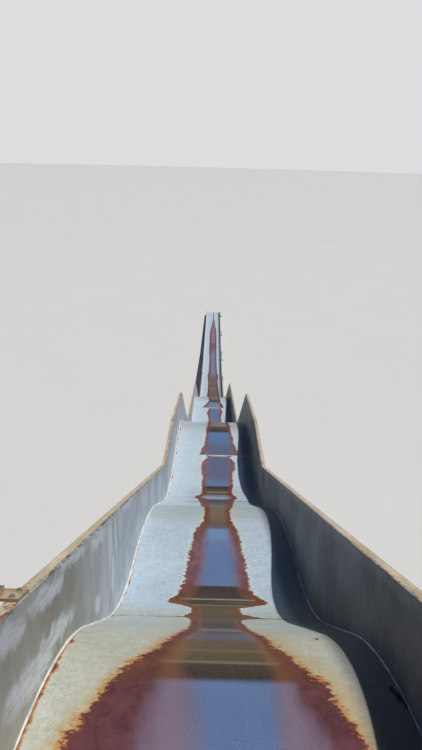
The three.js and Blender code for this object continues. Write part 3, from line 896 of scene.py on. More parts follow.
@dataclass(frozen=True)
class ZincFinish(Finish):
    """Weathered zinc: grey, with runs, and pale bloom under the top edge of the walls.

    With smears it is the walls' finish: inside the chute the left wall is painted lighter, as painted light,
    and the right wall darker and bluer, as painted shade.
    """

    name: str = "weathered_zinc"
    light: Rgb = (168, 174, 174)
    dark: Rgb = (134, 142, 144)
    bloom: Rgb = (206, 212, 208)
    painted_lit_left_inside: tuple[Rgb, Rgb] = ((188, 191, 182), (152, 152, 140))
    painted_lit_left_far: tuple[Rgb, Rgb] = ((214, 226, 236), (190, 202, 212))
    painted_shade_right_inside: tuple[Rgb, Rgb] = ((118, 124, 132), (80, 84, 86))
    smears: tuple[Smear, ...] = ()
    # Smears shorter than this are runs and keep straight edges
    run_mm: float = 45
    wiped_tone: Rgb = (236, 245, 255)
    left_tinge: Rgb = (136, 130, 118)
    right_tinge: Rgb = (96, 86, 78)
    rim_dirt_and_shade: Rgb = (84, 66, 52)

    def surface(self, g: Graph) -> Surface:
        """Adds the finish's nodes.

        Args:
            g: the graph.

        Returns:
            What the shader takes.
        """
        x, y, _ = g.parts
        depth = below_wall_top(g)[0]
        cloud = g.noise(g.here, 3.2, 5.0, 0.6)
        tone = g.rise(cloud, 0.32, 0.68)
        colour = g.blend(tone, self.dark, self.light)
        left: Feed = 0.0
        right: Feed = 0.0
        if self.smears:
            in_chute = g.math("LESS_THAN", g.math("ABSOLUTE", x), HALF_CLEAR + WALL_PLATE / 2)
            left = g.times(in_chute, g.math("LESS_THAN", x, 0.0))
            right = g.times(in_chute, g.math("GREATER_THAN", x, 0.0))
            # Painted light on the inside of the left wall and painted shade on the inside of the right wall
            near_tone = g.blend(tone, self.painted_lit_left_inside[1], self.painted_lit_left_inside[0])
            far_tone = g.blend(tone, self.painted_lit_left_far[1], self.painted_lit_left_far[0])
            far_off = g.rise(y, model_y(480), model_y(1100))
            colour = g.blend(left, colour, g.blend(far_off, near_tone, far_tone))
            colour = g.blend(right, colour, g.blend(tone, self.painted_shade_right_inside[1], self.painted_shade_right_inside[0]))
            tinge = g.patches((g.here, 5.5, 4.0, 0.65), 0.5, 0.7)
            colour = g.laid(colour, self.right_tinge, tinge, right, 0.45)
            colour = g.laid(colour, self.left_tinge, tinge, left, 0.35)
        crystal = spangle(g, scale=70.0)[0]
        fine = g.noise(g.here, 130.0, 3.0, 0.6)
        colour = g.tint(colour, g.fit(crystal, 0.1, g.fit(fine, 0.14, 0.88)))
        wet = runs(g, narrowness=22.0, length=1.2, amount=0.46)[0]
        fade = g.fit(right, -0.36, 0.5)
        colour = g.laid(colour, self.bloom, wet, fade)
        aside = g.vector("ADD", g.here, (3.1, 7.7, 0.4)).outputs[0]
        stain = runs(g, place=aside, narrowness=34.0, length=0.9, amount=0.42)[0]
        colour = g.laid(colour, g.tint(colour, 0.45), stain, 0.48)
        edge = g.rise(g.plus(depth, g.fit(g.noise(g.here, 22.0, 5.0, 0.7), 0.05, -0.025)), 0.036, 0.012)
        colour = g.laid(colour, self.bloom, edge, fade)
        if self.smears:
            colour = g.laid(colour, self.wiped_tone, self.wiped(g, depth), left)
        rusty, specks, _ = rust(g, scale=60.0, amount=0.46, fresh=0.5)
        colour = g.laid(colour, rusty, specks, g.rise(depth, 0.012, 0.004))
        # A thin broken dark line just under the wall's top edge: partly dirt and partly painted shade where
        # the wall meets the cap rail
        rim = g.plus(depth, g.fit(g.noise(g.here, 70.0, 4.0, 0.7), 0.008, -0.004))
        dashes = g.patches((g.here, 22.0, 5.0, 0.75), 0.48, 0.56)
        colour = g.laid(colour, self.rim_dirt_and_shade, g.rise(rim, 0.0036, 0.0018), dashes, 0.8)
        rough = g.fit(crystal, 0.12, 0.44)
        return Surface(colour, rough, 0.2, g.fit(cloud, 3.0, g.noise(g.here, 240.0)), 0.0005, 0.4)

    def wiped(self, g: Graph, depth: Feed) -> Socket:
        """The smears together, with torn edges.

        Args:
            g: the graph.
            depth: the point's depth below the wall's top edge.

        Returns:
            The mask.
        """
        y = g.parts[1]
        torn = breakup(g, scale=26.0, amount=0.022)[0]
        along, deep = g.fit(torn, 2.0, y), g.plus(depth, torn)
        total: Feed = 0.0
        runny: Feed = 0.0
        for mark in self.smears:
            straight = mark.half_length_mm < self.run_mm
            one = smear(
                g, along=y if straight else along, depth=depth if straight else deep,
                centre_along=model_y(mark.y_mm), centre_depth=mark.depth_mm * MM,
                half_length=mark.half_length_mm * MM, half_depth=mark.half_depth_mm * MM,
                strength=mark.strength,
            )[0]
            if straight:
                runny = g.math("MAXIMUM", runny, one)
            else:
                total = g.math("MAXIMUM", total, one)
        flow = g.joined(g.times(y, 14.0), g.times(depth, 95.0), 0.0)
        brushed = g.times(total, g.patches((flow, 1.0, 5.0, 0.7), 0.24, 0.56))
        return g.math("MAXIMUM", brushed, runny)


@dataclass(frozen=True)
class PaintFinish(Finish):
    """Old paint on steel: chipped edges, rust specks, and dust on what stands near the ground."""

    coat: Rgb
    shade: Rgb
    chip: Rgb = (120, 116, 108)
    chips: float = 1.0
    rusting: float = 0.3
    inner_line: bool = False
    rusty_from_mm: float | None = None
    dust: Rgb = (150, 136, 112)
    # The rusty stretch, and its shoe
    eaten: tuple[Rgb, Rgb] = ((62, 42, 36), (122, 74, 46))
    bitten_cream: tuple[Rgb, Rgb] = ((186, 164, 130), (136, 84, 54))
    # The top of a cap rail
    streaks: Rgb = (150, 112, 66)
    pits: Rgb = (112, 84, 58)
    inner_edge: tuple[Rgb, Rgb] = ((56, 42, 36), (126, 72, 44))

    def surface(self, g: Graph) -> Surface:
        """Adds the finish's nodes.

        Args:
            g: the graph.

        Returns:
            What the shader takes.
        """
        _, y, z = g.parts
        cloud = g.noise(g.here, 6.0, 5.0, 0.65)
        fine = g.noise(g.here, 150.0, 3.0, 0.6)
        colour = g.blend(g.rise(cloud, 0.35, 0.7), self.coat, self.shade)
        colour = g.tint(colour, g.fit(fine, 0.16, 0.92))
        wet = runs(g, narrowness=40.0, length=2.0, amount=0.42)[0]
        colour = g.laid(colour, g.tint(self.shade, 0.62), wet, 0.4)
        worn = edge_wear(g, width=0.004, scale=55.0, reach=self.chips)[0]
        colour = g.blend(worn, colour, self.chip)
        amount: Feed = self.rusting
        if self.inner_line:
            colour = self.weathered(g, colour)
            amount = g.fit(g.rise(y, model_y(560), model_y(400)), 0.16, self.rusting)
        rusty, bitten, lumps = rust(g, scale=30.0, amount=amount, fresh=0.55)
        if self.rusty_from_mm is not None:
            start = model_y(self.rusty_from_mm)
            eaten = g.rise(g.plus(y, g.fit(cloud, 0.12, -0.06)), start - 0.05, start + 0.01)
            old = g.blend(g.rise(fine, 0.4, 0.7), *self.eaten)
            shoe = g.rise(z, WALL_LINE.top(start) + 0.016, WALL_LINE.top(start) + 0.01)
            cream = g.blend(g.rise(cloud, 0.42, 0.56), *self.bitten_cream)
            colour = g.laid(colour, g.blend(shoe, old, cream), eaten, 0.95)
        dirt = g.rise(g.plus(z, g.fit(cloud, 0.3, -0.15)), 0.16, -0.02)
        colour = g.laid(colour, self.dust, dirt, 0.5)
        colour = g.blend(bitten, colour, rusty)
        rough = g.between(bitten, g.fit(fine, 0.2, 0.38), 0.85)
        height = g.plus(g.times(g.minus(1.0, worn), 0.8), fine, g.times(bitten, lumps))
        return Surface(colour, rough, g.times(worn, 0.5), height, 0.0006)

    def weathered(self, g: Graph, colour: Feed) -> Socket:
        """The top of a cap rail: streaks along it, pits, and a thin broken dark line at its inner edge.

        Args:
            g: the graph.
            colour: the colour so far.

        Returns:
            The colour with the wear.
        """
        streaks = g.noise(g.here, 1.0, 4.0, 0.65, (260.0, 9.0, 9.0))
        colour = g.laid(colour, self.streaks, g.rise(streaks, 0.48, 0.66), 0.5)
        pits = g.patches((g.here, 120.0, 3.0, 0.6), 0.6, 0.7)
        colour = g.laid(colour, self.pits, pits, 0.6)
        wander = g.fit(g.noise(g.here, 60.0, 3.0, 0.6), 0.005, -0.0025)
        outwards = g.plus(g.math("ABSOLUTE", g.parts[0]), wander)
        inward = g.rise(outwards, HALF_CLEAR + 0.0062, HALF_CLEAR + 0.0045)
        dashes = g.patches((g.here, 75.0, 4.0, 0.7, (0.3, 1.0, 1.0)), 0.44, 0.54)
        brown = g.blend(g.patches((g.here, 40.0, 3.0), 0.5, 0.62), *self.inner_edge)
        return g.blend(g.times(inward, dashes, 0.95), colour, brown)


@dataclass(frozen=True)
class BeadFinish(Finish):
    """A weld bead: bright, with rust where the piece keeps a stain."""

    bright: Rgb
    dull: Rgb
    fresh: float = 0.8

    def surface(self, g: Graph) -> Surface:
        """Adds the finish's nodes.

        Args:
            g: the graph.

        Returns:
            What the shader takes.
        """
        colour = g.blend(g.patches((g.here, 24.0, 4.0, 0.6), 0.35, 0.72), self.bright, self.dull)
        rusty = rust(g, scale=60.0, amount=1.0, fresh=self.fresh)[0]
        creep = g.plus(g.kept("stain"), g.noise(g.here, 34.0, 5.0, 0.7), -1.0)
        stained = g.rise(creep, 0.0, 0.12)
        ripple = g.noise(g.here, 260.0, 2.0, 0.5, (1.0, 1.0, 0.4))
        colour = g.blend(stained, colour, rusty)
        return Surface(colour, g.between(stained, 0.42, 0.8), g.between(stained, 0.2, 0.0), ripple, 0.0006)


@dataclass(frozen=True)
class PlateFinish(Finish):
    """Chequer plate underfoot: rubbed bright where it stands proud and dirty in between."""

    low: Rgb
    high: Rgb
    rubbed: Rgb = (190, 192, 190)

    def surface(self, g: Graph) -> Surface:
        """Adds the finish's nodes.

        Args:
            g: the graph.

        Returns:
            What the shader takes.
        """
        cloud = g.noise(g.here, 5.0, 5.0, 0.65)
        fine = g.noise(g.here, 190.0, 3.0, 0.6)
        colour = g.tint(g.blend(g.rise(cloud, 0.3, 0.7), self.low, self.high), g.fit(fine, 0.2, 0.9))
        worn = edge_wear(g, width=0.003, scale=70.0, reach=1.1)[0]
        rusty, spots, _ = rust(g, scale=22.0, amount=0.3, fresh=0.5)
        colour = g.blend(spots, g.blend(worn, colour, self.rubbed), rusty)
        return Surface(colour, g.between(spots, g.fit(cloud, 0.25, 0.3), 0.85), 0.45, fine, 0.0005)


@dataclass(frozen=True)
class FastenerFinish(Finish):
    """Zinc-plated nuts and bolts, some of them rusting."""

    coat: Rgb = (172, 172, 164)

    def surface(self, g: Graph) -> Surface:
        """Adds the finish's nodes.

        Args:
            g: the graph.

        Returns:
            What the shader takes.
        """
        amount = g.fit(g.noise(g.here, 9.0, 3.0, 0.7), 1.1, -0.12)
        rusty, spots, _ = rust(g, scale=150.0, amount=amount, fresh=0.5)
        fine = g.noise(g.here, 300.0)
        colour = g.blend(spots, g.tint(self.coat, g.fit(fine, 0.3, 0.85)), rusty)
        return Surface(colour, g.between(spots, 0.36, 0.85), g.between(spots, 0.6, 0.0), fine, 0.0003)


@dataclass(frozen=True)
class FloorFinish(Finish):
    """The studio's plain pale floor."""

    tones: tuple[Rgb, Rgb] = ((214, 213, 209), (220, 219, 215))

    def surface(self, g: Graph) -> Surface:
        """Adds the finish's nodes."""
        return Surface(g.blend(g.noise(g.here, 0.35, 3.0), *self.tones), 0.9, 0.0)


LEFT_WALL_SMEARS = (
    Smear(390, 154, 120, 34, 1.0), Smear(520, 136, 110, 26, 1.0), Smear(500, 34, 95, 25, 0.95),
    Smear(330, 40, 60, 26, 0.8), Smear(650, 12, 110, 14, 0.85), Smear(880, 28, 90, 26, 0.95),
    Smear(1022, 130, 34, 140, 1.0), Smear(1100, 90, 16, 80, 1.0), Smear(1330, 12, 140, 18, 0.95),
    Smear(830, 215, 30, 30, 0.85), Smear(1120, 300, 90, 10, 0.6), Smear(1180, 60, 40, 60, 0.5),
    Smear(1750, 60, 120, 60, 0.55), Smear(2050, 90, 90, 70, 0.5), Smear(2400, 80, 140, 60, 0.5),
)

BED_FINISH = WornStripFinish()
WALL_FINISH = ZincFinish(smears=LEFT_WALL_SMEARS)
PLAIN_ZINC = ZincFinish(name="plain_zinc")
CAP_FINISH = PaintFinish(
    "cream_cap_paint", (210, 196, 170), (188, 168, 136), (146, 126, 100), 0.9, 0.36, True,
)
LOW_CAP_FINISH = PaintFinish("pale_cap_paint", (198, 210, 214), (176, 190, 196), (150, 150, 146), 0.6, 0.3)
FRAME_FINISH = PaintFinish("grey_frame_paint", (142, 149, 151), (126, 133, 136), (92, 88, 84), 0.9, 0.27)
RAIL_FINISH = PaintFinish(
    "handrail_paint", (156, 162, 163), (138, 144, 147), (176, 176, 170), 1.0, 0.24, rusty_from_mm=375,
)
FLOOR_PLATE_FINISH = PlateFinish("chequer_plate_base", (112, 114, 112), (150, 153, 152))
RAISED_PLATE_FINISH = PlateFinish("chequer_plate_raised", (168, 172, 172), (206, 208, 206))
# The left corner bead is painted bright white as a sunlit glint, the right one darker and bluer as painted
# shade
CORNER_BEAD_FINISHES = {
    "left": BeadFinish("painted_lit_corner_bead", (250, 250, 246), (206, 208, 206)),
    "right": BeadFinish("painted_shade_corner_bead", (176, 190, 214), (84, 98, 120)),
}
# The right wall's seam beads are painted darker and bluer than the left ones, as painted shade
SEAM_BEAD_FINISHES = {
    "left": BeadFinish("left_seam_bead", (206, 212, 214), (160, 166, 168)),
    "right": BeadFinish("painted_shade_seam_bead", (140, 150, 164), (104, 112, 124)),
}
LAP_BEAD_FINISH = BeadFinish("lap_bead", (232, 234, 234), (190, 192, 190), 0.2)
FASTENER_FINISH = FastenerFinish("plated_fasteners")


# Meshes


def store(mesh: Mesh, name: str, values: Sequence) -> None:
    """Keeps a number, a vector or a colour at each point of a mesh.

    Args:
        mesh: the mesh.
        name: the name to keep them under.
        values: one number, vector or colour for each point.
    """
    table = np.array(values, np.float32)
    width = 1 if table.ndim == 1 else table.shape[1]
    kind, part = {1: ("FLOAT", "value"), 3: ("FLOAT_VECTOR", "vector"), 4: ("FLOAT_COLOR", "color")}[width]
    mesh.attributes.new(name, kind, "POINT").data.foreach_set(part, table.ravel())


def places_of(mesh: Mesh) -> np.ndarray:
    """The places of a mesh's points.

    Args:
        mesh: the mesh.

    Returns:
        One row of three numbers for each point.
    """
    places = np.empty(len(mesh.vertices) * 3, np.float32)
    mesh.vertices.foreach_get("co", places)
    return places.reshape(-1, 3).astype(float)


def turn_outwards(mesh: Mesh) -> None:
    """Flips the faces of a closed mesh that is inside out.

    Args:
        mesh: the mesh.
    """
    mesh.calc_loop_triangles()
    corners = np.empty(len(mesh.loop_triangles) * 3, np.int32)
    mesh.loop_triangles.foreach_get("vertices", corners)
    places = places_of(mesh)
    a, b, c = (places - places.mean(0))[corners.reshape(-1, 3)].transpose(1, 0, 2)
    if np.einsum("ij,ij->", a, np.cross(b, c)) < 0:
        mesh.flip_normals()


def round_off(mesh: Mesh, angle: float) -> None:
    """Makes edges under an angle in degrees look smooth and keeps the others sharp."""
    mesh.shade_smooth()
    mesh.set_sharp_from_angle(angle=math.radians(angle))


class Piece:
    """Collects flat plates and makes one object of them."""

    def __init__(self, name: str) -> None:
        """Starts an empty piece.

        Args:
            name: the piece's name.
        """
        self.name = name
        self.points: list[Sequence[float]] = []
        self.faces: list[list[int]] = []

    def plate(self, outline: Sequence[Sequence[float]], axis: int, thick: float) -> None:
        """Adds a flat plate: an outline of points, and the same outline moved by thick along an axis.

        Args:
            outline: the corners of one face, in order.
            axis: the axis along which it is thick.
            thick: how far the other face lies along that axis.
        """
        n, first = len(outline), len(self.points)
        step = Vector([thick if k == axis else 0.0 for k in range(3)])
        base = [Vector(p) for p in outline]
        turn = (base[1] - base[0]).cross(base[2] - base[1]).dot(step)
        faces = [list(range(n))[::-1], list(range(n, 2 * n))]
        faces += [[i, (i + 1) % n, n + (i + 1) % n, n + i] for i in range(n)]
        for face in faces:
            self.faces.append([first + k for k in (face if turn > 0 else face[::-1])])
        self.points += [*base, *[p + step for p in base]]

    def slab(self, axis: int, at: float, low: Sequence[float], high: Sequence[float], thick: float) -> None:
        """Adds a rectangular plate that starts where one axis has the value at.

        Args:
            axis: the axis along which it is thick.
            at: where it starts on that axis.
            low: its low corner on the other two axes.
            high: its high corner.
            thick: how far the other face lies along that axis.
        """
        corners = [[low[0], low[1]], [high[0], low[1]], [high[0], high[1]], [low[0], high[1]]]
        for corner in corners:
            corner.insert(axis, at)
        self.plate(corners, axis, thick)

    def made(self, finish: Finish, bevel: float = 0.0) -> Object:
        """Makes the object, with a bevel of this width on its edges, and links it to the scene.

        Args:
            finish: the finish.
            bevel: the bevel's width; none at 0.

        Returns:
            The object.
        """
        mesh = bpy.data.meshes.new(self.name)
        mesh.from_pydata([tuple(p) for p in self.points], [], self.faces)
        mesh.materials.append(finish.material())
        obj = bpy.data.objects.new(self.name, mesh)
        bpy.context.scene.collection.objects.link(obj)
        if bevel:
            cut = obj.modifiers.new("rounded_edges", "BEVEL")
            cut.width, cut.segments, cut.limit_method = bevel, 1, "ANGLE"
            cut.angle_limit = math.radians(BEVEL_ANGLE)
        return obj


def hand_over(obj: Object, slot: str, *replaced: str) -> None:
    """Gives a finished piece to the frame and reports it.

    Args:
        obj: the finished piece.
        slot: the record's material slot; not used.
        *replaced: CAD nodes that the piece stands for.
    """
    if replaced:
        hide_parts(*replaced)
    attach(obj, "root")
    log.info("%s: %d faces", obj.name, len(obj.data.polygons))


def repaint(finish: Finish, *nodes: str) -> None:
    """Gives CAD nodes their finish.

    Args:
        finish: the finish.
        *nodes: the nodes' names.
    """
    for node in nodes:
        shown = frame["nodes"][node]
        if not shown.data.materials:
            shown.data.materials.append(finish.material())
        for slot in shown.material_slots:
            slot.material = finish.material()
        log.info("%s: painted with %s", node, finish.name)


# Geometry Nodes trees


class Tree:
    """A Geometry Nodes tree with named inputs, run on a carrier of points or lines."""

    def __init__(self, name: str, **inputs: float) -> None:
        """Makes the tree and its inputs.

        Args:
            name: the tree's name.
            **inputs: the first value of each size; a whole number makes it an integer.
        """
        self.tree = bpy.data.node_groups.new(name, "GeometryNodeTree")
        self.ids: dict[str, str] = {}
        self.declare("carrier", "Geometry")
        for title, value in inputs.items():
            self.declare(title, "Int" if isinstance(value, int) else "Float").default_value = value
        self.declare("finish", "Material")
        self.declare("underside", "Material")
        self.tree.interface.new_socket("Result", in_out="OUTPUT", socket_type="NodeSocketGeometry")
        self.graph = Graph(self.tree)
        self.inputs = self.graph.add("NodeGroupInput").outputs
        self.result = self.graph.add("NodeGroupOutput").inputs[0]

    def declare(self, title: str, kind: str) -> bpy.types.NodeTreeInterfaceSocket:
        """Adds an input and keeps its identifier.

        Args:
            title: the input's name, in lower case with underscores.
            kind: its kind of socket.

        Returns:
            The input.
        """
        shown = title.replace("_", " ").capitalize()
        socket = self.tree.interface.new_socket(shown, in_out="INPUT", socket_type=f"NodeSocket{kind}")
        self.ids[title] = socket.identifier
        return socket

    def __getitem__(self, title: str) -> Socket:
        """The input with this name."""
        return self.inputs[title]

    def shape(self, kind: str, inputs: dict[str | int, Feed], **settings: object) -> Socket:
        """Adds a geometry node and gives its first output."""
        return self.graph.add(f"GeometryNode{kind}", inputs, **settings).outputs[0]

    def moved(self, shape: Feed, offset: Feed = NOWHERE, turn: Feed = NOWHERE, scale: Feed = EVEN) -> Socket:
        """A shape moved, turned and scaled."""
        inputs = {"Geometry": shape, "Translation": offset, "Rotation": turn, "Scale": scale}
        return self.shape("Transform", inputs)

    def together(self, *shapes: Socket) -> Socket:
        """Several shapes as one.

        Args:
            *shapes: the shapes.

        Returns:
            The joined shape.
        """
        node = self.graph.add("GeometryNodeJoinGeometry")
        for shape in shapes:
            self.tree.links.new(shape, node.inputs[0])
        return node.outputs[0]

    def line(self) -> Socket:
        """The carrier's line as a curve that stays level across."""
        curve = self.shape("MeshToCurve", {"Mesh": self["Carrier"]})
        return self.shape("SetCurveNormal", {"Curve": curve}, mode="Z_UP")

    def kept(self, name: str, kind: str = "FLOAT") -> Socket:
        """A number or vector that the carrier keeps at its points."""
        return self.shape("InputNamedAttribute", {"Name": name}, data_type=kind)

    def facing(self, spin: bool = False) -> Socket:
        """A turn that lays a shape's Z along the carrier's facing, and may spin it by chance from Seed.

        Args:
            spin: whether chance spins it.

        Returns:
            The turn.
        """
        g = self.graph
        way = self.kept("facing", "FLOAT_VECTOR")
        lean = g.add("FunctionNodeAlignRotationToVector", {"Vector": way}, axis="Z").outputs[0]
        if not spin:
            return lean
        chance = g.add("FunctionNodeRandomValue", {"Seed": self["Seed"]}, data_type="FLOAT")
        g.feed(chance.inputs[3], math.tau)
        turn = g.add("FunctionNodeAxisAngleToRotation", {"Axis": UP, "Angle": chance.outputs[1]}).outputs[0]
        return g.add("FunctionNodeRotateRotation", {0: lean, 1: turn}, rotation_space="LOCAL").outputs[0]

    def on_points(self, shape: Socket, turn: Feed = NOWHERE, points: Socket | None = None) -> Socket:
        """A shape on each point of the carrier, or of other points."""
        inputs = {"Points": points or self["Carrier"], "Instance": shape, "Rotation": turn}
        return self.shape("InstanceOnPoints", inputs)

    def end(self, shape: Socket, top: Socket | None = None) -> "Tree":
        """Makes instances real and gives the faces their finish, top and underside apart where top is given.

        Args:
            shape: the finished shape.
            top: true on the faces that don't belong to the underside.

        Returns:
            The tree itself.
        """
        real = self.shape("RealizeInstances", {0: shape})
        if top is not None:
            real = self.shape("SetMaterial", {"Geometry": real, "Material": self["Underside"]})
        inputs = {"Geometry": real, "Material": self["Finish"]}
        if top is not None:
            inputs["Selection"] = top
        self.graph.feed(self.result, self.shape("SetMaterial", inputs))
        return self

    def run(
        self, name: str, points: Sequence, finish: Finish, joined: bool = False,
        kept: dict[str, Sequence] | None = None, underside: Finish | None = None, smooth_under: float = 0.0,
        **sizes: float,
    ) -> Object:
        """Runs the tree on a carrier and turns the result into a plain mesh.

        Args:
            name: the piece's name.
            points: the carrier's points, or a list of lines of points when they are joined.
            finish: the piece's finish.
            joined: whether lines join the points.
            kept: numbers or vectors that each point keeps, by name.
            underside: the finish of the underside, for trees that have one.
            smooth_under: the angle in degrees under which edges look smooth; flat faces without it.
            **sizes: values for the named inputs.

        Returns:
            The object, with no modifier on it.
        """
        edges: list[tuple[int, int]] = []
        if joined:
            starts = np.cumsum([0] + [len(line) for line in points])
            edges = [(k, k + 1) for a, b in zip(starts, starts[1:]) for k in range(a, b - 1)]
            points = np.concatenate(points)
        mesh = bpy.data.meshes.new(name)
        mesh.from_pydata([tuple(float(c) for c in p) for p in points], edges, [])
        for title, values in (kept or {}).items():
            store(mesh, title, values)
        obj = bpy.data.objects.new(name, mesh)
        bpy.context.scene.collection.objects.link(obj)
        modifier = obj.modifiers.new(name, "NODES")
        modifier.node_group = self.tree
        modifier[self.ids["finish"]] = finish.material()
        if underside:
            modifier[self.ids["underside"]] = underside.material()
        for title, value in sizes.items():
            modifier[self.ids[title]] = value
        graph = bpy.context.evaluated_depsgraph_get()
        result = bpy.data.meshes.new_from_object(obj.evaluated_get(graph), depsgraph=graph)
        obj.modifiers.clear()
        obj.data = result
        result.name = name
        turn_outwards(result)
        if smooth_under:
            round_off(result, smooth_under)
        return obj


@cache
def bolt_tree() -> Tree:
    """Hexagon heads on washers, with a stud that stands proud where Stud is above 0.

    Returns:
        The tree.
    """
    s = Tree("hexagon_bolts", radius=0.006, height=0.004, washer=0.0015, stud=0.0, seed=3)
    g = s.graph
    length = g.plus(s["Height"], s["Washer"], s["Stud"])
    rounds = (
        (6, 1.0, s["Height"], g.fit(s["Height"], 0.5, s["Washer"])),
        (12, 1.45, s["Washer"], g.times(s["Washer"], 0.5)),
        (8, 0.5, length, g.times(length, 0.5)),
    )
    parts = []
    for sides, share, depth, middle in rounds:
        inputs = {"Vertices": sides, "Radius": g.times(s["Radius"], share), "Depth": depth}
        parts.append(s.moved(s.shape("MeshCylinder", inputs), g.joined(0.0, 0.0, middle)))
    return s.end(s.on_points(s.together(*parts), s.facing(spin=True)))


@cache
def round_head_tree() -> Tree:
    """Low round heads, such as rivets and dome nuts.

    Returns:
        The tree.
    """
    s = Tree("round_heads", radius=0.004, height=0.002, seed=5)
    ball = s.shape("MeshUVSphere", {"Segments": 10, "Rings": 6, "Radius": 1.0})
    ball = s.moved(ball, scale=s.graph.joined(s["Radius"], s["Radius"], s["Height"]))
    return s.end(s.on_points(ball, s.facing(spin=True)))


@cache
def lozenge_tree() -> Tree:
    """Raised lozenges in two crossing directions on a rectangle around each carrier point.

    Returns:
        The tree.
    """
    s = Tree("chequer_lozenges", width=0.9, length=0.45, pitch=0.016, bar=0.011, height=0.0012)
    g = s.graph
    bar = s.shape("MeshCone", {"Vertices": 6, "Radius Top": 0.55, "Radius Bottom": 1.0, "Depth": 1.0})
    half = g.times(s["Bar"], 0.5)
    bar = s.moved(bar, scale=g.joined(half, g.times(half, 0.36), s["Height"]))
    step = g.times(s["Pitch"], 2.0)
    whole = [g.math("FLOOR", g.math("DIVIDE", s[side], step)) for side in ("Width", "Length")]
    across, along = [g.math("MAXIMUM", count, 1.0) for count in whole]
    spans = [g.times(g.minus(count, 1.0), step) for count in (across, along)]
    inputs = {"Size X": spans[0], "Size Y": spans[1], "Vertices X": across, "Vertices Y": along}
    grid = s.shape("MeshGrid", inputs)
    sets = []
    for turn, shift in ((math.pi / 4, 0.0), (-math.pi / 4, 1.0)):
        for row in (0.0, 1.0):
            move = g.joined(g.times(s["Pitch"], (shift + row) % 2 - 0.5), g.times(s["Pitch"], row - 0.5), 0.0)
            sets.append(s.on_points(bar, (0.0, 0.0, turn), s.moved(grid, move)))
    return s.end(s.on_points(s.together(*sets)))


@cache
def rib_tree() -> Tree:
    """A row of low ribs, as on the nose of a stair tread, on each carrier point.

    Returns:
        The tree.
    """
    s = Tree("tread_ribs", width=0.4, depth=0.006, height=0.002, pitch=0.016, rows=5)
    g = s.graph
    rib = s.shape("MeshCone", {"Vertices": 4, "Radius Top": 0.5, "Radius Bottom": 0.7071, "Depth": 1.0})
    rib = s.moved(rib, turn=(0.0, 0.0, math.pi / 4))
    rib = s.moved(rib, scale=g.joined(s["Width"], s["Depth"], s["Height"]))
    line = s.shape("MeshLine", {"Count": s["Rows"], "Offset": g.joined(0.0, s["Pitch"], 0.0)}, mode="OFFSET")
    return s.end(s.on_points(s.on_points(rib, points=line)))


@cache
def bead_tree() -> Tree:
    """A round bead of weld along the carrier's line, as thick as each point's swell says.

    Returns:
        The tree.
    """
    s = Tree("weld_beads", across=1.0, upright=1.0, sides=8)
    ring = s.shape("CurvePrimitiveCircle", {"Resolution": s["Sides"], "Radius": 1.0})
    ring = s.moved(ring, scale=s.graph.joined(s["Across"], s["Upright"], 1.0))
    inputs = {"Curve": s.line(), "Profile Curve": ring, "Scale": s.kept("swell"), "Fill Caps": True}
    return s.end(s.shape("CurveToMesh", inputs))


@cache
def bearer_tree() -> Tree:
    """A channel that lies across the chute under each carrier point, square to its facing.

    Returns:
        The tree.
    """
    s = Tree("bed_bearers", half_width=0.296, width=0.02, depth=0.0304, wall=0.003)
    g = s.graph
    full, wall, depth = g.times(s["Half width"], 2.0), s["Wall"], s["Depth"]
    low = g.fit(wall, 0.5, g.times(depth, -1.0))
    parts = (
        (s["Width"], wall, 0.0, g.times(wall, -0.5)),
        (s["Width"], wall, 0.0, low),
        (wall, g.fit(wall, -0.2, depth), g.times(g.minus(wall, s["Width"]), 0.499), g.times(depth, -0.5)),
    )
    bars = []
    for along, upright, y, z in parts:
        bar = s.shape("MeshCube", {"Size": g.joined(full, along, upright)})
        bars.append(s.moved(bar, g.joined(0.0, y, z)))
    return s.end(s.on_points(s.together(*bars), s.facing()))


@cache
def sheet_tree() -> Tree:
    """A bed sheet along the carrier's line: dented and lipped on top, flat underneath, closed all round.

    Returns:
        The tree.
    """
    s = Tree("bed_sheets", half_width=0.2997, columns=15, plate=0.004, dent=0.0009, calm_edge=0.06, seed=4)
    g = s.graph
    half = s["Half width"]
    left, right = g.joined(g.times(half, -1.0), 0.0, 0.0), g.joined(half, 0.0, 0.0)
    across = s.shape("CurvePrimitiveLine", {"Start": left, "End": right})
    across = s.shape("ResampleCurve", {"Curve": across, "Count": s["Columns"]})
    flat = s.shape("CurveToMesh", {"Curve": s.line(), "Profile Curve": across})
    low = s.shape("SetPosition", {"Geometry": flat, "Offset": g.joined(0.0, 0.0, g.times(s["Plate"], -1.0))})
    inputs = {"Mesh": low, "Offset": UP, "Offset Scale": s["Plate"], "Individual": False}
    raised = g.add("GeometryNodeExtrudeMesh", inputs)
    place = g.add("GeometryNodeInputPosition").outputs[0]
    calm = g.rise(g.minus(half, g.math("ABSOLUTE", g.split(place)[0])), 0.0, s["Calm edge"])
    inputs = {"Vector": place, "W": s["Seed"], "Scale": 2.6, "Detail": 1.0}
    waves = g.add("ShaderNodeTexNoise", inputs, noise_dimensions="4D").outputs[0]
    dents = g.times(g.minus(waves, 0.5), s["Dent"], s.kept("play"), 3.0)
    lift = g.fit(calm, g.plus(dents, s.kept("swell")), s.kept("lip"))
    top = {"Geometry": raised.outputs[0], "Selection": raised.outputs[1], "Offset": g.joined(0.0, 0.0, lift)}
    shell = s.together(s.shape("SetPosition", top), s.shape("FlipFaces", {"Mesh": low}))
    return s.end(s.shape("MergeByDistance", {"Geometry": shell, "Distance": 0.00002}), raised.outputs[1])


# Bolts and gussets


class Bolt(Enum):
    """Kinds of bolts: half the width of the head over its corners, and how far the stud stands proud."""

    STRAP = (0.0048, 0.0)
    FRAME = (0.0068, 0.0)
    ANCHOR = (0.0085, 0.008)
    TREAD = (0.0052, 0.0)
    GUARD = (0.0045, 0.0)
    SHOE = (0.0036, 0.0)


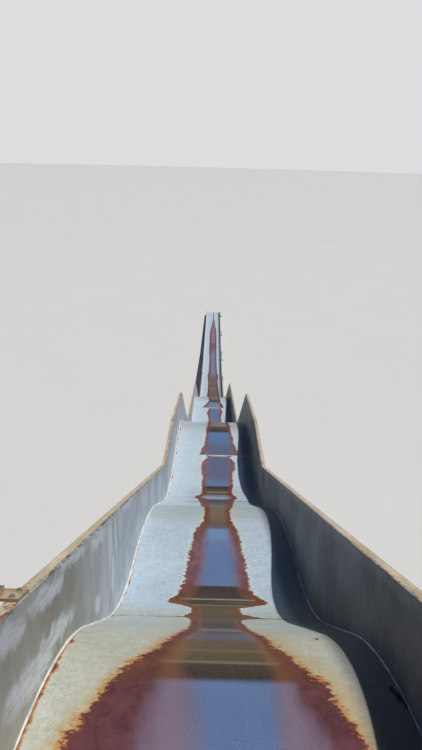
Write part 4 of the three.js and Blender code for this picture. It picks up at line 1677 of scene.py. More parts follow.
@dataclass
class Spots:
    """Places for bolts, with the way that each one faces."""

    places: list[Sequence[float]] = field(default_factory=list)
    ways: list[Point] = field(default_factory=list)
    head_share: float = 0.65
    washer_share: float = 0.22

    def add(self, place: Sequence[float], way: Point) -> None:
        """Adds one bolt's place and way."""
        self.places.append(place)
        self.ways.append(way)

    def along(self, place: Sequence[float], axis: int, sign: int) -> None:
        """Adds one bolt that faces one way along an axis."""
        self.add(place, tuple(float(sign) if k == axis else 0.0 for k in range(3)))

    def square(self, centre: Sequence[float], half: float) -> None:
        """Adds a bolt that looks up at each corner of a level square around centre.

        Args:
            centre: the square's middle.
            half: half its side.
        """
        for dx in (-half, half):
            for dy in (-half, half):
                self.add((centre[0] + dx, centre[1] + dy, centre[2]), UP)

    def bolts(self, name: str, kind: Bolt) -> None:
        """Turns the places into hexagon bolts and hands them over.

        Args:
            name: the piece's name.
            kind: the kind of bolts.
        """
        radius, stud = kind.value
        made = bolt_tree().run(
            name, self.places, FASTENER_FINISH, kept={"facing": self.ways}, radius=radius,
            height=radius * self.head_share, washer=radius * self.washer_share, stud=stud,
        )
        hand_over(made, "galvanised_steel")


@dataclass(frozen=True)
class Gusset:
    """A flat gusset on a brace: its outline, inward and upwards from the joint, and its thickness."""

    outline: Stops
    thick: float

    def add(
        self, piece: Piece, bolts: Spots, joint: Point, axis: int, way: tuple[int, int, int], half: float,
        spots: Sequence[Vector],
    ) -> None:
        """Adds the gusset and its bolts.

        Args:
            piece: the piece that the gusset goes into.
            bolts: where the bolts' places go.
            joint: where the lines of the brace and the post meet.
            axis: the axis that the gusset's faces look along.
            way: 1 or -1 for inward, for the face that it lies on and for up or down.
            half: half the brace's thickness.
            spots: the bolts' places, inward and upwards from the joint.
        """
        inward, face, up = way

        def placed(u: float, v: float, out: float) -> list[float]:
            """A place inward, upwards and outwards from the joint."""
            shift = {axis: face * (half + out), 1 - axis: inward * u, 2: up * v}
            return [joint[k] + shift[k] for k in range(3)]

        piece.plate([placed(u, v, 0.0) for u, v in self.outline], axis, face * self.thick)
        for spot in spots:
            bolts.along(placed(spot.x, spot.y, self.thick), axis, face)


# Bed


class Polish(Enum):
    """The tones that the polished middle of the bed takes: partly the metal's own tint and partly painted
    reflections of sky and ground.
    """

    BLUE = (106, 130, 172)
    SKY = (126, 150, 184)
    UMBER = (60, 46, 29)
    RUSSET = (92, 62, 40)
    OLIVE = (90, 69, 26)
    GOLD = (104, 76, 16)
    STEEL = (108, 114, 142)
    AZURE = (112, 144, 190)
    SLATE = (70, 64, 66)
    MAUVE = (92, 82, 94)
    TAN = (116, 92, 80)
    ICE = (134, 146, 170)
    ROSE = (158, 136, 148)
    LILAC = (118, 108, 132)


class Zinc(Enum):
    """The tones of the unworn zinc beside the strip."""

    CREAM = (198, 198, 182)
    CHALK = (188, 196, 190)
    PALE = (192, 208, 220)
    COOL = (198, 213, 223)
    GREEN = (180, 193, 196)
    WHITE = (204, 216, 228)


@dataclass
class Bed:
    """The bed of the chute: its sheets, the bearers under them and the laps between them."""

    half_width: float = HALF_CLEAR - GAP
    bearer_pitch: float = 0.7
    bearer_bite: float = 0.0004
    end_strips: tuple[float, float] = (0.0018, 0.0042)
    smooth_under: float = 35
    lip: float = 0.0014
    lip_reach: float = 0.03
    calm_reach: float = 0.02
    glint_swell: float = 0.0008
    glint_reach: float = 2.2
    painted_glint: Rgb = (218, 208, 172)
    painted_dark_glint: Rgb = (18, 10, 6)
    bead_points: int = 120
    bead_inset: float = 0.002
    bead_radii: tuple[float, float] = (0.0017, 0.0042)
    # Rust past each lap: its strength, its half length, and how far past the lap its middle lies
    lap_rust: Stops = ((0.95, 16), *[(0.6, 16)] * 3, *[(0.6, 45)] * 6)
    lap_shift: float = 4
    # Half the length, in millimetres, over which the polished tone changes, for changes up to each y
    softness: Stops = ((500, 10), (1400, 6), (3100, 16), (3900, 90), (5000, 16), (math.inf, 60))

    # Where the polished tone changes: the y in millimetres at which each tone ends; the tones are partly
    # painted reflection
    polish: tuple[tuple[float, Polish], ...] = (
        (442, Polish.BLUE), (505, Polish.UMBER), (600, Polish.OLIVE), (655, Polish.MAUVE),
        (690, Polish.SLATE), (745, Polish.MAUVE), (860, Polish.UMBER), (1100, Polish.OLIVE),
        (1250, Polish.UMBER), (1580, Polish.BLUE), (1695, Polish.AZURE), (1735, Polish.MAUVE),
        (1800, Polish.RUSSET), (2140, Polish.GOLD), (2200, Polish.UMBER), (2370, Polish.MAUVE),
        (2560, Polish.SLATE), (2735, Polish.MAUVE), (2845, Polish.SKY), (2905, Polish.UMBER),
        (2990, Polish.OLIVE), (3058, Polish.UMBER), (3180, Polish.BLUE), (3780, Polish.STEEL),
        (4035, Polish.BLUE), (4200, Polish.UMBER), (4320, Polish.OLIVE), (5200, Polish.RUSSET),
        (6150, Polish.UMBER), (7900, Polish.BLUE), (8215, Polish.SKY), (8300, Polish.UMBER),
        (9500, Polish.OLIVE), (11900, Polish.UMBER), (13000, Polish.BLUE), (16230, Polish.TAN),
        (16560, Polish.BLUE), (19400, Polish.ICE), (20600, Polish.LILAC), (25750, Polish.ROSE),
    )
    # Painted glint lines across the polish, where the sheets also swell a little: y, half width and strength,
    # a painted dark reflection where the strength is below 0
    glints: tuple[Point, ...] = (
        (499, 4, 0.3), (545, 5, 0.1), (690, 5, 0.4), (706, 4, 0.3), (1000, 8, -0.4), (1104, 3, 0.4),
        (1152, 4, 0.6), (1176, 5, -0.4), (2225, 26, 0.5), (2325, 46, -0.85), (2430, 26, 0.3),
        (2510, 30, -0.4), (2660, 60, -0.85), (2775, 22, 0.5), (2862, 9, 0.4), (2925, 12, 0.4),
        (2960, 8, -0.5), (3030, 12, -0.4), (3574, 12, 0.8), (4110, 22, -0.5), (4250, 20, 0.3),
        (4310, 14, 0.2), (7905, 30, 0.5), (14600, 60, 0.2), (15300, 70, 0.25), (15900, 50, 0.2),
        (19600, 60, 0.3),
    )
    # The unworn zinc's tone: y in millimetres and a tone for each
    zinc: tuple[tuple[float, Zinc], ...] = (
        (0, Zinc.CREAM), (600, Zinc.CREAM), (800, Zinc.CHALK), (1010, Zinc.CHALK), (1120, Zinc.PALE),
        (1750, Zinc.PALE), (1900, Zinc.GREEN), (2150, Zinc.GREEN), (2250, Zinc.COOL), (4000, Zinc.COOL),
        (4250, Zinc.GREEN), (5200, Zinc.PALE), (8200, Zinc.WHITE), (8600, Zinc.GREEN), (9500, Zinc.PALE),
        (13700, Zinc.WHITE), (25750, Zinc.WHITE),
    )
    # The strip's edges: y, left and right in millimetres
    edges: tuple[Point, ...] = (
        (0, -252, 240), (300, -232, 216), (350, -216, 202), (400, -198, 184), (450, -180, 168),
        (500, -156, 142), (550, -126, 116), (600, -105, 101), (650, -86, 86), (700, -72, 71),
        (800, -68, 70), (900, -70, 66), (950, -72, 72), (965, -78, 100), (972, -92, 150), (976, -160, 205),
        (983, -98, 146), (1000, -90, 114), (1030, -74, 76), (1080, -74, 72), (1100, -106, 118),
        (1118, -148, 158), (1142, -150, 163), (1165, -134, 140), (1200, -124, 133), (1250, -112, 120),
        (1300, -106, 116), (1400, -100, 113), (1500, -94, 107), (1600, -88, 101), (1700, -72, 91),
        (1750, -60, 81), (1800, -50, 74), (2000, -45, 73), (2100, -50, 87), (2200, -67, 100),
        (2400, -71, 107), (2600, -80, 124), (2720, -88, 134), (2775, -116, 156), (2820, -112, 152),
        (2860, -82, 133), (2950, -73, 127), (3050, -76, 137), (3150, -80, 140), (3250, -73, 144),
        (3340, -80, 158), (3400, -92, 169), (3450, -84, 166), (3510, -66, 156), (3545, -47, 133),
        (3575, -60, 140), (3592, -112, 196), (3640, -92, 198), (3700, -88, 188), (3750, -72, 178),
        (3800, -68, 172), (3900, -66, 166), (4100, -60, 152), (4200, -60, 150), (4300, -54, 143),
        (4425, -47, 140), (5200, -60, 120), (6400, -100, 150), (7300, -53, 140), (7500, -60, 140),
        (7580, -76, 146), (7700, -80, 160), (7800, -67, 160), (7890, -36, 128), (7930, -150, 180),
        (8000, -134, 178), (8100, -100, 166), (8200, -73, 141), (8300, -60, 134), (8750, -66, 134),
        (9900, -70, 120), (11600, -110, 160), (13700, -127, 215), (14500, -115, 193), (15500, -114, 175),
        (16300, -138, 198), (16450, -150, 206), (16600, -120, 168), (17300, -108, 154), (18500, -107, 148),
        (19450, -127, 153), (20500, -127, 153), (21500, -132, 153), (22200, -120, 147), (22700, -100, 133),
        (23000, -80, 102), (23500, -48, 87), (24000, -33, 73), (24300, -14, 48), (24500, -5, 36),
        (25750, -4, 32),
    )
    # The rust's tone beside the polish: y in millimetres and a colour for each
    rust_tones: tuple[tuple[float, Rgb], ...] = (
        (0, (100, 57, 62)), (330, (94, 52, 60)), (430, (92, 52, 52)), (500, (104, 60, 42)),
        (620, (102, 60, 46)), (680, (94, 66, 72)), (740, (104, 68, 54)), (980, (112, 74, 46)),
        (1110, (116, 74, 42)), (1200, (102, 60, 40)), (1280, (110, 74, 80)), (1500, (118, 82, 90)),
        (1700, (108, 62, 56)), (1780, (104, 60, 40)), (2100, (106, 60, 42)), (2300, (114, 74, 72)),
        (2700, (108, 66, 60)), (2900, (106, 60, 42)), (3050, (108, 60, 46)), (3150, (120, 86, 94)),
        (3900, (118, 84, 90)), (4200, (102, 60, 40)), (7400, (120, 84, 88)), (8300, (102, 62, 42)),
        (13700, (104, 64, 54)), (16400, (112, 74, 76)), (25750, (124, 82, 92)),
    )
    # How strong things are along the chute: y in millimetres and a value for each
    strengths: dict[str, Stops] = field(default_factory=lambda: {
        "halo": (
            (0, 1.0), (600, 1.0), (760, 0.4), (1000, 0.0), (1650, 0.0), (1850, 0.3), (2150, 0.34),
            (2350, 0.0), (4000, 0.0), (4200, 0.25), (4425, 0.0),
        ),
        "warmth": ((0, 1.0), (700, 1.0), (1000, 0.6), (1230, 0.5), (1330, 0.15), (1800, 0.25), (3000, 0.1)),
        "rim_share": (
            (0, 0.42), (330, 0.42), (430, 0.36), (470, 0.28), (600, 0.2), (660, 0.26), (735, 0.3),
            (760, 0.18), (980, 0.18), (1100, 0.2), (1130, 0.18), (1235, 0.26), (1265, 0.36), (1700, 0.36),
            (1740, 0.3), (2100, 0.3), (2200, 0.4), (2700, 0.4), (2800, 0.28), (3050, 0.2), (3300, 0.25),
            (3560, 0.22), (3700, 0.14), (4100, 0.18), (7300, 0.26), (8200, 0.24), (8300, 0.2),
            (13700, 0.22), (16300, 0.24), (16500, 0.34), (20500, 0.36), (25750, 0.4),
        ),
        "raggedness": (
            (0, 1.6), (600, 1.9), (700, 1.2), (960, 0.6), (985, 0.5), (1110, 1.1), (1160, 1.5), (1300, 1.7),
            (1700, 1.6), (1800, 1.0), (3000, 1.2), (3200, 1.9), (4400, 1.8), (13000, 1.6), (23000, 1.2),
            (24400, 0.3),
        ),
        "rust_fresh": (
            (0, 0.8), (560, 0.85), (740, 0.6), (1060, 0.5), (1150, 0.7), (1300, 0.55), (2200, 0.45),
            (3600, 0.45), (8000, 0.35), (14000, 0.25),
        ),
        "streaky": (
            (0, 0.0), (430, 0.0), (470, 0.2), (610, 0.28), (700, 0.3), (820, 0.12), (960, 0.16),
            (1080, 0.36), (1110, 0.55), (1160, 0.5), (1200, 0.15), (1240, 0.0), (1720, 0.0), (1800, 0.15),
            (2150, 0.2), (2300, 0.4), (2700, 0.45), (2800, 0.4), (3000, 0.4), (3060, 0.0), (4040, 0.0),
            (4150, 0.3), (4400, 0.4), (8200, 0.0), (8350, 0.3), (13000, 0.2), (16300, 0.25), (16500, 0.0),
        ),
    })
    # Rust under the left wall, in millimetres: its width at y, and blots of it with a half length and width
    corner_widths: Stops = (
        (0, 5.0), (280, 6.0), (330, 5.4), (440, 5.6), (520, 5.0), (590, 4.4), (700, 2.0), (900, 1.4),
        (940, 3.2), (1120, 4.0), (1300, 5.5), (1420, 3.8), (1700, 2.8), (2300, 3.0), (3500, 7.0),
        (4300, 8.0), (25750, 1.0),
    )
    corner_blots: tuple[Point, ...] = (
        (340, 12, 8), (395, 10, 8), (467, 22, 12), (500, 14, 7), (572, 14, 12), (700, 12, 4), (962, 14, 10),
        (1090, 20, 5), (1180, 30, 7), (1260, 26, 9), (1480, 24, 6), (1560, 20, 6), (1760, 26, 6),
        (2150, 30, 6), (2500, 30, 9), (2860, 40, 10), (3200, 40, 12), (3600, 50, 13), (3860, 40, 11),
        (4100, 60, 15), (4330, 60, 16),
    )
    bright_laps: tuple[float, ...] = (3580, 7920)

    def build(self) -> None:
        """Builds every sheet, the bearers and the beads at the laps."""
        for i in range(len(BED_SEAMS_MM) - 1):
            hand_over(self.sheet(i), "worn_steel", f"bed_sheet_{i + 1}")
        hand_over(self.bearers(), "galvanised_steel")
        hand_over(self.lap_beads(), "worn_steel")

    def ends(self, i: int) -> tuple[float, float, bool]:
        """Where sheet i starts and ends, and whether it is the last one."""
        last = i + 2 == len(BED_SEAMS_MM)
        return model_y(BED_SEAMS_MM[i]) + GAP, model_y(BED_SEAMS_MM[i + 1]) - (GAP if last else 0.0), last

    def sheet(self, i: int) -> Object:
        """Builds sheet i, counted from 0.

        Args:
            i: the sheet's number, counted from 0.

        Returns:
            The sheet.
        """
        start, end, last = self.ends(i)
        close = np.array(self.end_strips)
        ys = np.unique(np.concatenate([stepped(start, end), start + close, end - close]))
        lip = 0.0 if last else self.lip * smooth((ys - (end - self.lip_reach)) / self.lip_reach)
        if i > 0:
            lip = lip - 0.5 * self.lip * (1 - smooth((ys - start) / self.calm_reach))
        play = smooth(np.minimum(ys - start, end - ys) / self.calm_reach)
        swell = sum(
            self.glint_swell * abs(s) * bump_at(ys, model_y(y), self.glint_reach * half * MM)
            for y, half, s in self.glints
        )
        kept = {"lip": lip + 0 * ys, "play": play, "swell": swell * play}
        line = np.stack([0 * ys, ys, BED_LINE.height(ys)], -1)
        obj = sheet_tree().run(
            f"slide_sheet_{i + 1}", [line], BED_FINISH, True, kept, PLAIN_ZINC, self.smooth_under,
            half_width=self.half_width, plate=BED_PLATE,
        )
        self.keep(obj.data)
        return obj

    def keep(self, mesh: Mesh) -> None:
        """Keeps at a sheet's points what its finish reads: tones, the strip's edges and where rust creeps.

        Args:
            mesh: the mesh.
        """
        y = chute_mm(places_of(mesh)[:, 1])
        table = np.array(self.edges, float)
        store(mesh, "strip_left", np.interp(y, table[:, 0], table[:, 1]) * MM)
        store(mesh, "strip_right", np.interp(y, table[:, 0], table[:, 2]) * MM)
        for name, stops in self.strengths.items():
            store(mesh, name, along_stops(y, stops))
        corner = [width * bump_at(y, place, half) for place, half, width in self.corner_blots]
        store(mesh, "corner_rust", np.maximum(along_stops(y, self.corner_widths), np.max(corner, 0)) * MM)
        laps = zip(BED_SEAMS_MM[1:-1], self.lap_rust)
        rusty = [strength * bump_at(y, seam + self.lap_shift, half) for seam, (strength, half) in laps]
        store(mesh, "lap_rust", np.max(rusty, 0))
        store(mesh, "polish_reflection_tone", self.polish_tones(y))
        store(mesh, "zinc_tone", self.mixed(y, [(end, tone.value) for end, tone in self.zinc]))
        store(mesh, "rust_tone", self.mixed(y, self.rust_tones))

    def polish_tones(self, y: np.ndarray) -> np.ndarray:
        """The polished middle's colour at y, partly painted reflection, with painted bright and dark glint
        lines across it.

        Args:
            y: places along the chute, in millimetres.

        Returns:
            One linear colour for each place.
        """
        tones = np.tile(np.array(paint(self.polish[0][1].value)), (len(y), 1))
        for (end, _), (_, tone) in zip(self.polish, self.polish[1:]):
            soft = under(self.softness, end)
            share = smooth((y - end + soft) / (2 * soft))[:, None]
            tones = tones * (1 - share) + np.array(paint(tone.value)) * share
        for place, half, strength in self.glints:
            share = (abs(strength) * bump_at(y, place, half))[:, None]
            line = paint(self.painted_glint if strength > 0 else self.painted_dark_glint)
            tones = tones * (1 - share) + np.array(line) * share
        return tones

    def mixed(self, y: np.ndarray, stops: Sequence[tuple[float, Rgb]]) -> np.ndarray:
        """Linear colours at y, between stops of y and screen colour."""
        parts = np.array([paint(rgb) for _, rgb in stops])
        return np.stack([np.interp(y, [end for end, _ in stops], parts[:, c]) for c in range(4)], 1)

    def bearers(self) -> Object:
        """Builds the channels under the sheets.

        Returns:
            The bearers as one piece.
        """
        ys: list[float] = []
        for i in range(len(BED_SEAMS_MM) - 1):
            start, end, _ = self.ends(i)
            count = max(2, round((end - start) / self.bearer_pitch))
            ys += [start + (k + 0.5) * (end - start) / count for k in range(count)]
        y = np.array(ys)
        points = np.stack([0 * y, y, BED_LINE.height(y) - BED_PLATE + self.bearer_bite], -1)
        return bearer_tree().run("bed_bearers", points, PLAIN_ZINC, kept={"facing": BED_LINE.facing(y)})

    def lap_beads(self) -> Object:
        """Builds the thin beads of weld that close the laps.

        Returns:
            The beads as one piece.
        """
        reach = self.half_width - self.bead_inset
        xs = np.linspace(-reach, reach, self.bead_points)
        lines, swell, stain = [], [], []
        for k, seam in enumerate(BED_SEAMS_MM[1:-1]):
            bright = seam in self.bright_laps
            y = model_y(seam) + 0.001 + 0.0008 * np.sin(xs * 41 + seam) + 0.0005 * np.sin(xs * 173)
            lines.append(np.stack([xs, y, BED_LINE.height(y)], -1))
            swell.append(self.bead_radii[bright] * (1 + 0.12 * np.sin(xs * 310)))
            stain.append(np.full(len(xs), 0.05) if bright else 0.9 + 0.12 * np.sin(xs * 23 + k))
        kept = {"swell": np.concatenate(swell), "stain": np.concatenate(stain)}
        return bead_tree().run(
            "lap_beads", lines, LAP_BEAD_FINISH, True, kept, smooth_under=60, upright=0.55, sides=6,
        )


# Walls


@dataclass
class Walls:
    """The side walls: their finish, the beads in their corners and seams, and the straps outside."""

    # How thick the beads in the corners are: y in millimetres and a radius in metres
    left_bead: Stops = ((0, 0.0026), (700, 0.0029), (1300, 0.0042), (4000, 0.0056))
    right_bead: Stops = ((0, 0.0018), (1300, 0.0022), (4000, 0.003))
    bead_shift: float = 0.3
    # Beads in the seams between plates
    seam_half: float = 0.0045
    seam_height: float = 0.0016
    seam_points: int = 90
    seam_below_top: float = 0.002
    seam_over_bed: float = 0.004
    # Straps outside the seams
    strap_half: float = 0.035
    strap_plate: float = 0.004
    strap_pitch: float = 0.06
    strap_over_foot: float = 0.003
    bolts_over_foot: float = 0.004
    bolt_share: float = 0.6
    below_cap: float = 0.024
    # Rust on the bead in the left corner: y in millimetres, half length and strength
    stains: tuple[Point, ...] = (
        (335, 26, 0.9), (385, 20, 0.8), (430, 30, 0.85), (480, 22, 0.75), (545, 30, 0.85), (600, 14, 0.5),
        (655, 22, 0.75), (760, 20, 0.45), (985, 28, 0.85), (1180, 45, 0.8), (1260, 30, 0.6), (1500, 40, 0.7),
        (1560, 30, 0.6), (1760, 40, 0.65), (3400, 60, 0.7), (3700, 80, 0.6), (4100, 90, 0.75),
    )

    def build(self) -> None:
        """Paints the walls and builds their beads and straps."""
        for side, radii in (("left", self.left_bead), ("right", self.right_bead)):
            repaint(WALL_FINISH, *[f"{side}_wall_{n + 1}" for n in range(len(WALL_SEAMS_MM) + 1)])
            hand_over(self.corner_bead(side, radii), "galvanised_steel")
            hand_over(self.seam_beads(side), "galvanised_steel")
        bolts = Spots()
        hand_over(self.straps(bolts), "galvanised_steel")
        bolts.bolts("strap_bolts", Bolt.STRAP)

    def corner_bead(self, side: str, radii: Stops) -> Object:
        """Builds the bead between the bed and the wall of one side, as thick as radii say.

        Args:
            side: left or right.
            radii: its radius at stops of y.

        Returns:
            The bead.
        """
        ys = stepped(model_y(0) + 0.002, model_y(BED_SEAMS_MM[-1]) - 0.002)
        mm = chute_mm(ys)
        uneven = 1 + 0.12 * np.sin(mm / 7.1) * np.sin(mm / 31) + 0.16 * np.sin(mm / 93 + 1.2)
        radius = along_stops(mm, radii) * (uneven + 0.1 * np.sin(mm / 17.3))
        xs = SIDES[side] * (HALF_CLEAR - GAP - self.bead_shift * radius)
        line = np.stack([xs, ys, BED_LINE.height(ys)], -1)
        line += BED_LINE.facing(ys) * self.bead_shift * radius[:, None]
        stain = np.full(len(ys), 0.12)
        if side == "left":
            blots = [0.42 * strength * bump_at(mm, place, half) for place, half, strength in self.stains]
            stain = stain + np.max(blots, 0)
        return bead_tree().run(
            f"{side}_corner_bead", [line], CORNER_BEAD_FINISHES[side], True,
            {"swell": radius, "stain": stain}, smooth_under=70,
        )

    def seam_beads(self, side: str) -> Object:
        """Builds the weld beads inside the wall of one side where its plates meet.

        Args:
            side: left or right.

        Returns:
            The beads as one piece.
        """
        lines, count = [], self.seam_points
        for top_mm, bottom_mm in WALL_SEAMS_MM:
            y = np.linspace(model_y(top_mm), model_y(bottom_mm), count)
            z = np.linspace(WALL_LINE.top(y[0]) - self.seam_below_top, WALL_LINE.bottom(y[-1]), count)
            shown = z > BED_LINE.height(y) + self.seam_over_bed
            lines.append(np.stack([np.full(count, SIDES[side] * HALF_CLEAR), y, z], -1)[shown])
        z = np.concatenate(lines)[:, 2]
        swell = 1 + 0.15 * np.sin(z * 900) + 0.1 * np.sin(z * 210)
        kept = {"swell": swell, "stain": 0.1 + 0.12 * np.sin(z * 20)}
        return bead_tree().run(
            f"{side}_wall_seam_beads", lines, SEAM_BEAD_FINISHES[side], True, kept, smooth_under=60,
            across=self.seam_height, upright=self.seam_half,
        )

    def straps(self, bolts: Spots) -> Object:
        """Builds the cover straps outside the wall seams, and notes where their bolts go.

        Args:
            bolts: where the bolts' places go.

        Returns:
            The straps as one piece.
        """
        piece, half = Piece("wall_straps"), self.strap_half
        for sign in SIDES.values():
            face = sign * (HALF_CLEAR + WALL_PLATE)
            out = sign * self.strap_plate
            for top_mm, bottom_mm in WALL_SEAMS_MM:
                top, low = model_y(top_mm), model_y(bottom_mm)
                outline = [
                    (face, low + k, WALL_LINE.bottom(low + k) + self.strap_over_foot) for k in (-half, half)
                ]
                outline += [(face, top + k, WALL_LINE.top(top + k) - self.below_cap) for k in (half, -half)]
                piece.plate(outline, 0, out)
                foot = Vector((face, low, WALL_LINE.bottom(low) + self.bolts_over_foot))
                reach = Vector((face, top, WALL_LINE.top(top) - self.below_cap)) - foot
                count = max(2, int(reach.length / self.strap_pitch))
                for k in range(count):
                    for shift in (-self.bolt_share * half, self.bolt_share * half):
                        spot = foot + reach * ((k + 0.5) / count) + Vector((out, shift, 0))
                        bolts.along(spot, 0, sign)
        return piece.made(PLAIN_ZINC, STRAP_BEVEL)


# Cap rails


@dataclass
class Caps:
    """The cream angle irons along the tops of the walls, and the cleats that join them."""

    inner: float = HALF_CLEAR + WALL_PLATE + GAP
    width: float = 0.02
    cleat_half: float = 0.032
    cleat_plate: float = 0.003
    cleat_inset: float = 0.001
    bolt_share: float = 0.55
    bolt_way: Point = (0.0, 0.2, 1.0)
    bolt_radius: float = 0.0062
    bolt_height: float = 0.0042

    def build(self) -> None:
        """Paints the caps and builds the cleats with their bolts."""
        joints = len(CAP_SEAMS_MM)
        for side in SIDES:
            repaint(CAP_FINISH, *[f"{side}_cap_rail_{n + 1}" for n in range(joints)])
            repaint(LOW_CAP_FINISH, f"{side}_cap_rail_{joints + 1}")
        piece, spots = Piece("cap_cleats"), Spots()
        for sign in SIDES.values():
            inset = self.cleat_inset
            xs = [sign * (self.inner + inset), sign * (self.inner + self.width - inset)]
            for seam in CAP_SEAMS_MM:
                for way in (-1, 1):
                    self.cleat(piece, spots, xs, model_y(seam), way)
        hand_over(piece.made(CAP_FINISH, STRAP_BEVEL), "cream_paint")
        made = round_head_tree().run(
            "cap_bolts", spots.places, FASTENER_FINISH, kept={"facing": spots.ways}, radius=self.bolt_radius,
            height=self.bolt_height,
        )
        hand_over(made, "galvanised_steel")

    def cleat(self, piece: Piece, spots: Spots, xs: Sequence[float], joint: float, way: int) -> None:
        """Adds the half of a cleat that lies on one side of a joint, and its bolt.

        Args:
            piece: the piece that the cleats go into.
            spots: where the bolts' places go.
            xs: the cleat's inner and outer x.
            joint: the joint's y.
            way: 1 for the half down the slide from the joint and -1 for the other one.
        """
        far = joint + way * self.cleat_half
        low, high = WALL_LINE.top(joint), WALL_LINE.top(far)
        outline = [(xs[0], joint, low), (xs[1], joint, low), (xs[1], far, high), (xs[0], far, high)]
        piece.plate(outline, 2, self.cleat_plate)
        y = joint + way * self.cleat_half * self.bolt_share
        spots.add((sum(xs) / 2, y, WALL_LINE.top(y) + self.cleat_plate), self.bolt_way)


# Trestles


@dataclass
class Foot:
    """What stands on a foot plate: a post with a triangular stiffener on each side, and four anchors."""

    plate: float = 0.008
    half: float = 0.055
    stiffener: float = 0.005
    height: float = 0.06
    toe: float = 0.01
    near_share: float = 0.8
    far_share: float = 0.94
    anchor_place: float = 0.04

    def add(self, piece: Piece, anchors: Spots, x: float, y: float, post: float) -> None:
        """Adds the stiffeners and anchors around a post.

        Args:
            piece: the piece that the stiffeners go into.
            anchors: where the anchors' places go.
            x: the post's place.
            y: the post's place.
            post: half the post's width.
        """
        low, high = self.plate, self.plate + self.height
        for way in (-1, 1):
            near, far = way * post * self.near_share, way * self.half * self.far_share
            profile = ((near, low), (far, low), (far, low + self.toe), (near, high))
            piece.plate([(x - self.stiffener / 2, y + u, v) for u, v in profile], 0, self.stiffener)
            piece.plate([(x + u, y - self.stiffener / 2, v) for u, v in profile], 1, self.stiffener)
        anchors.square((x, y, self.plate), self.anchor_place)


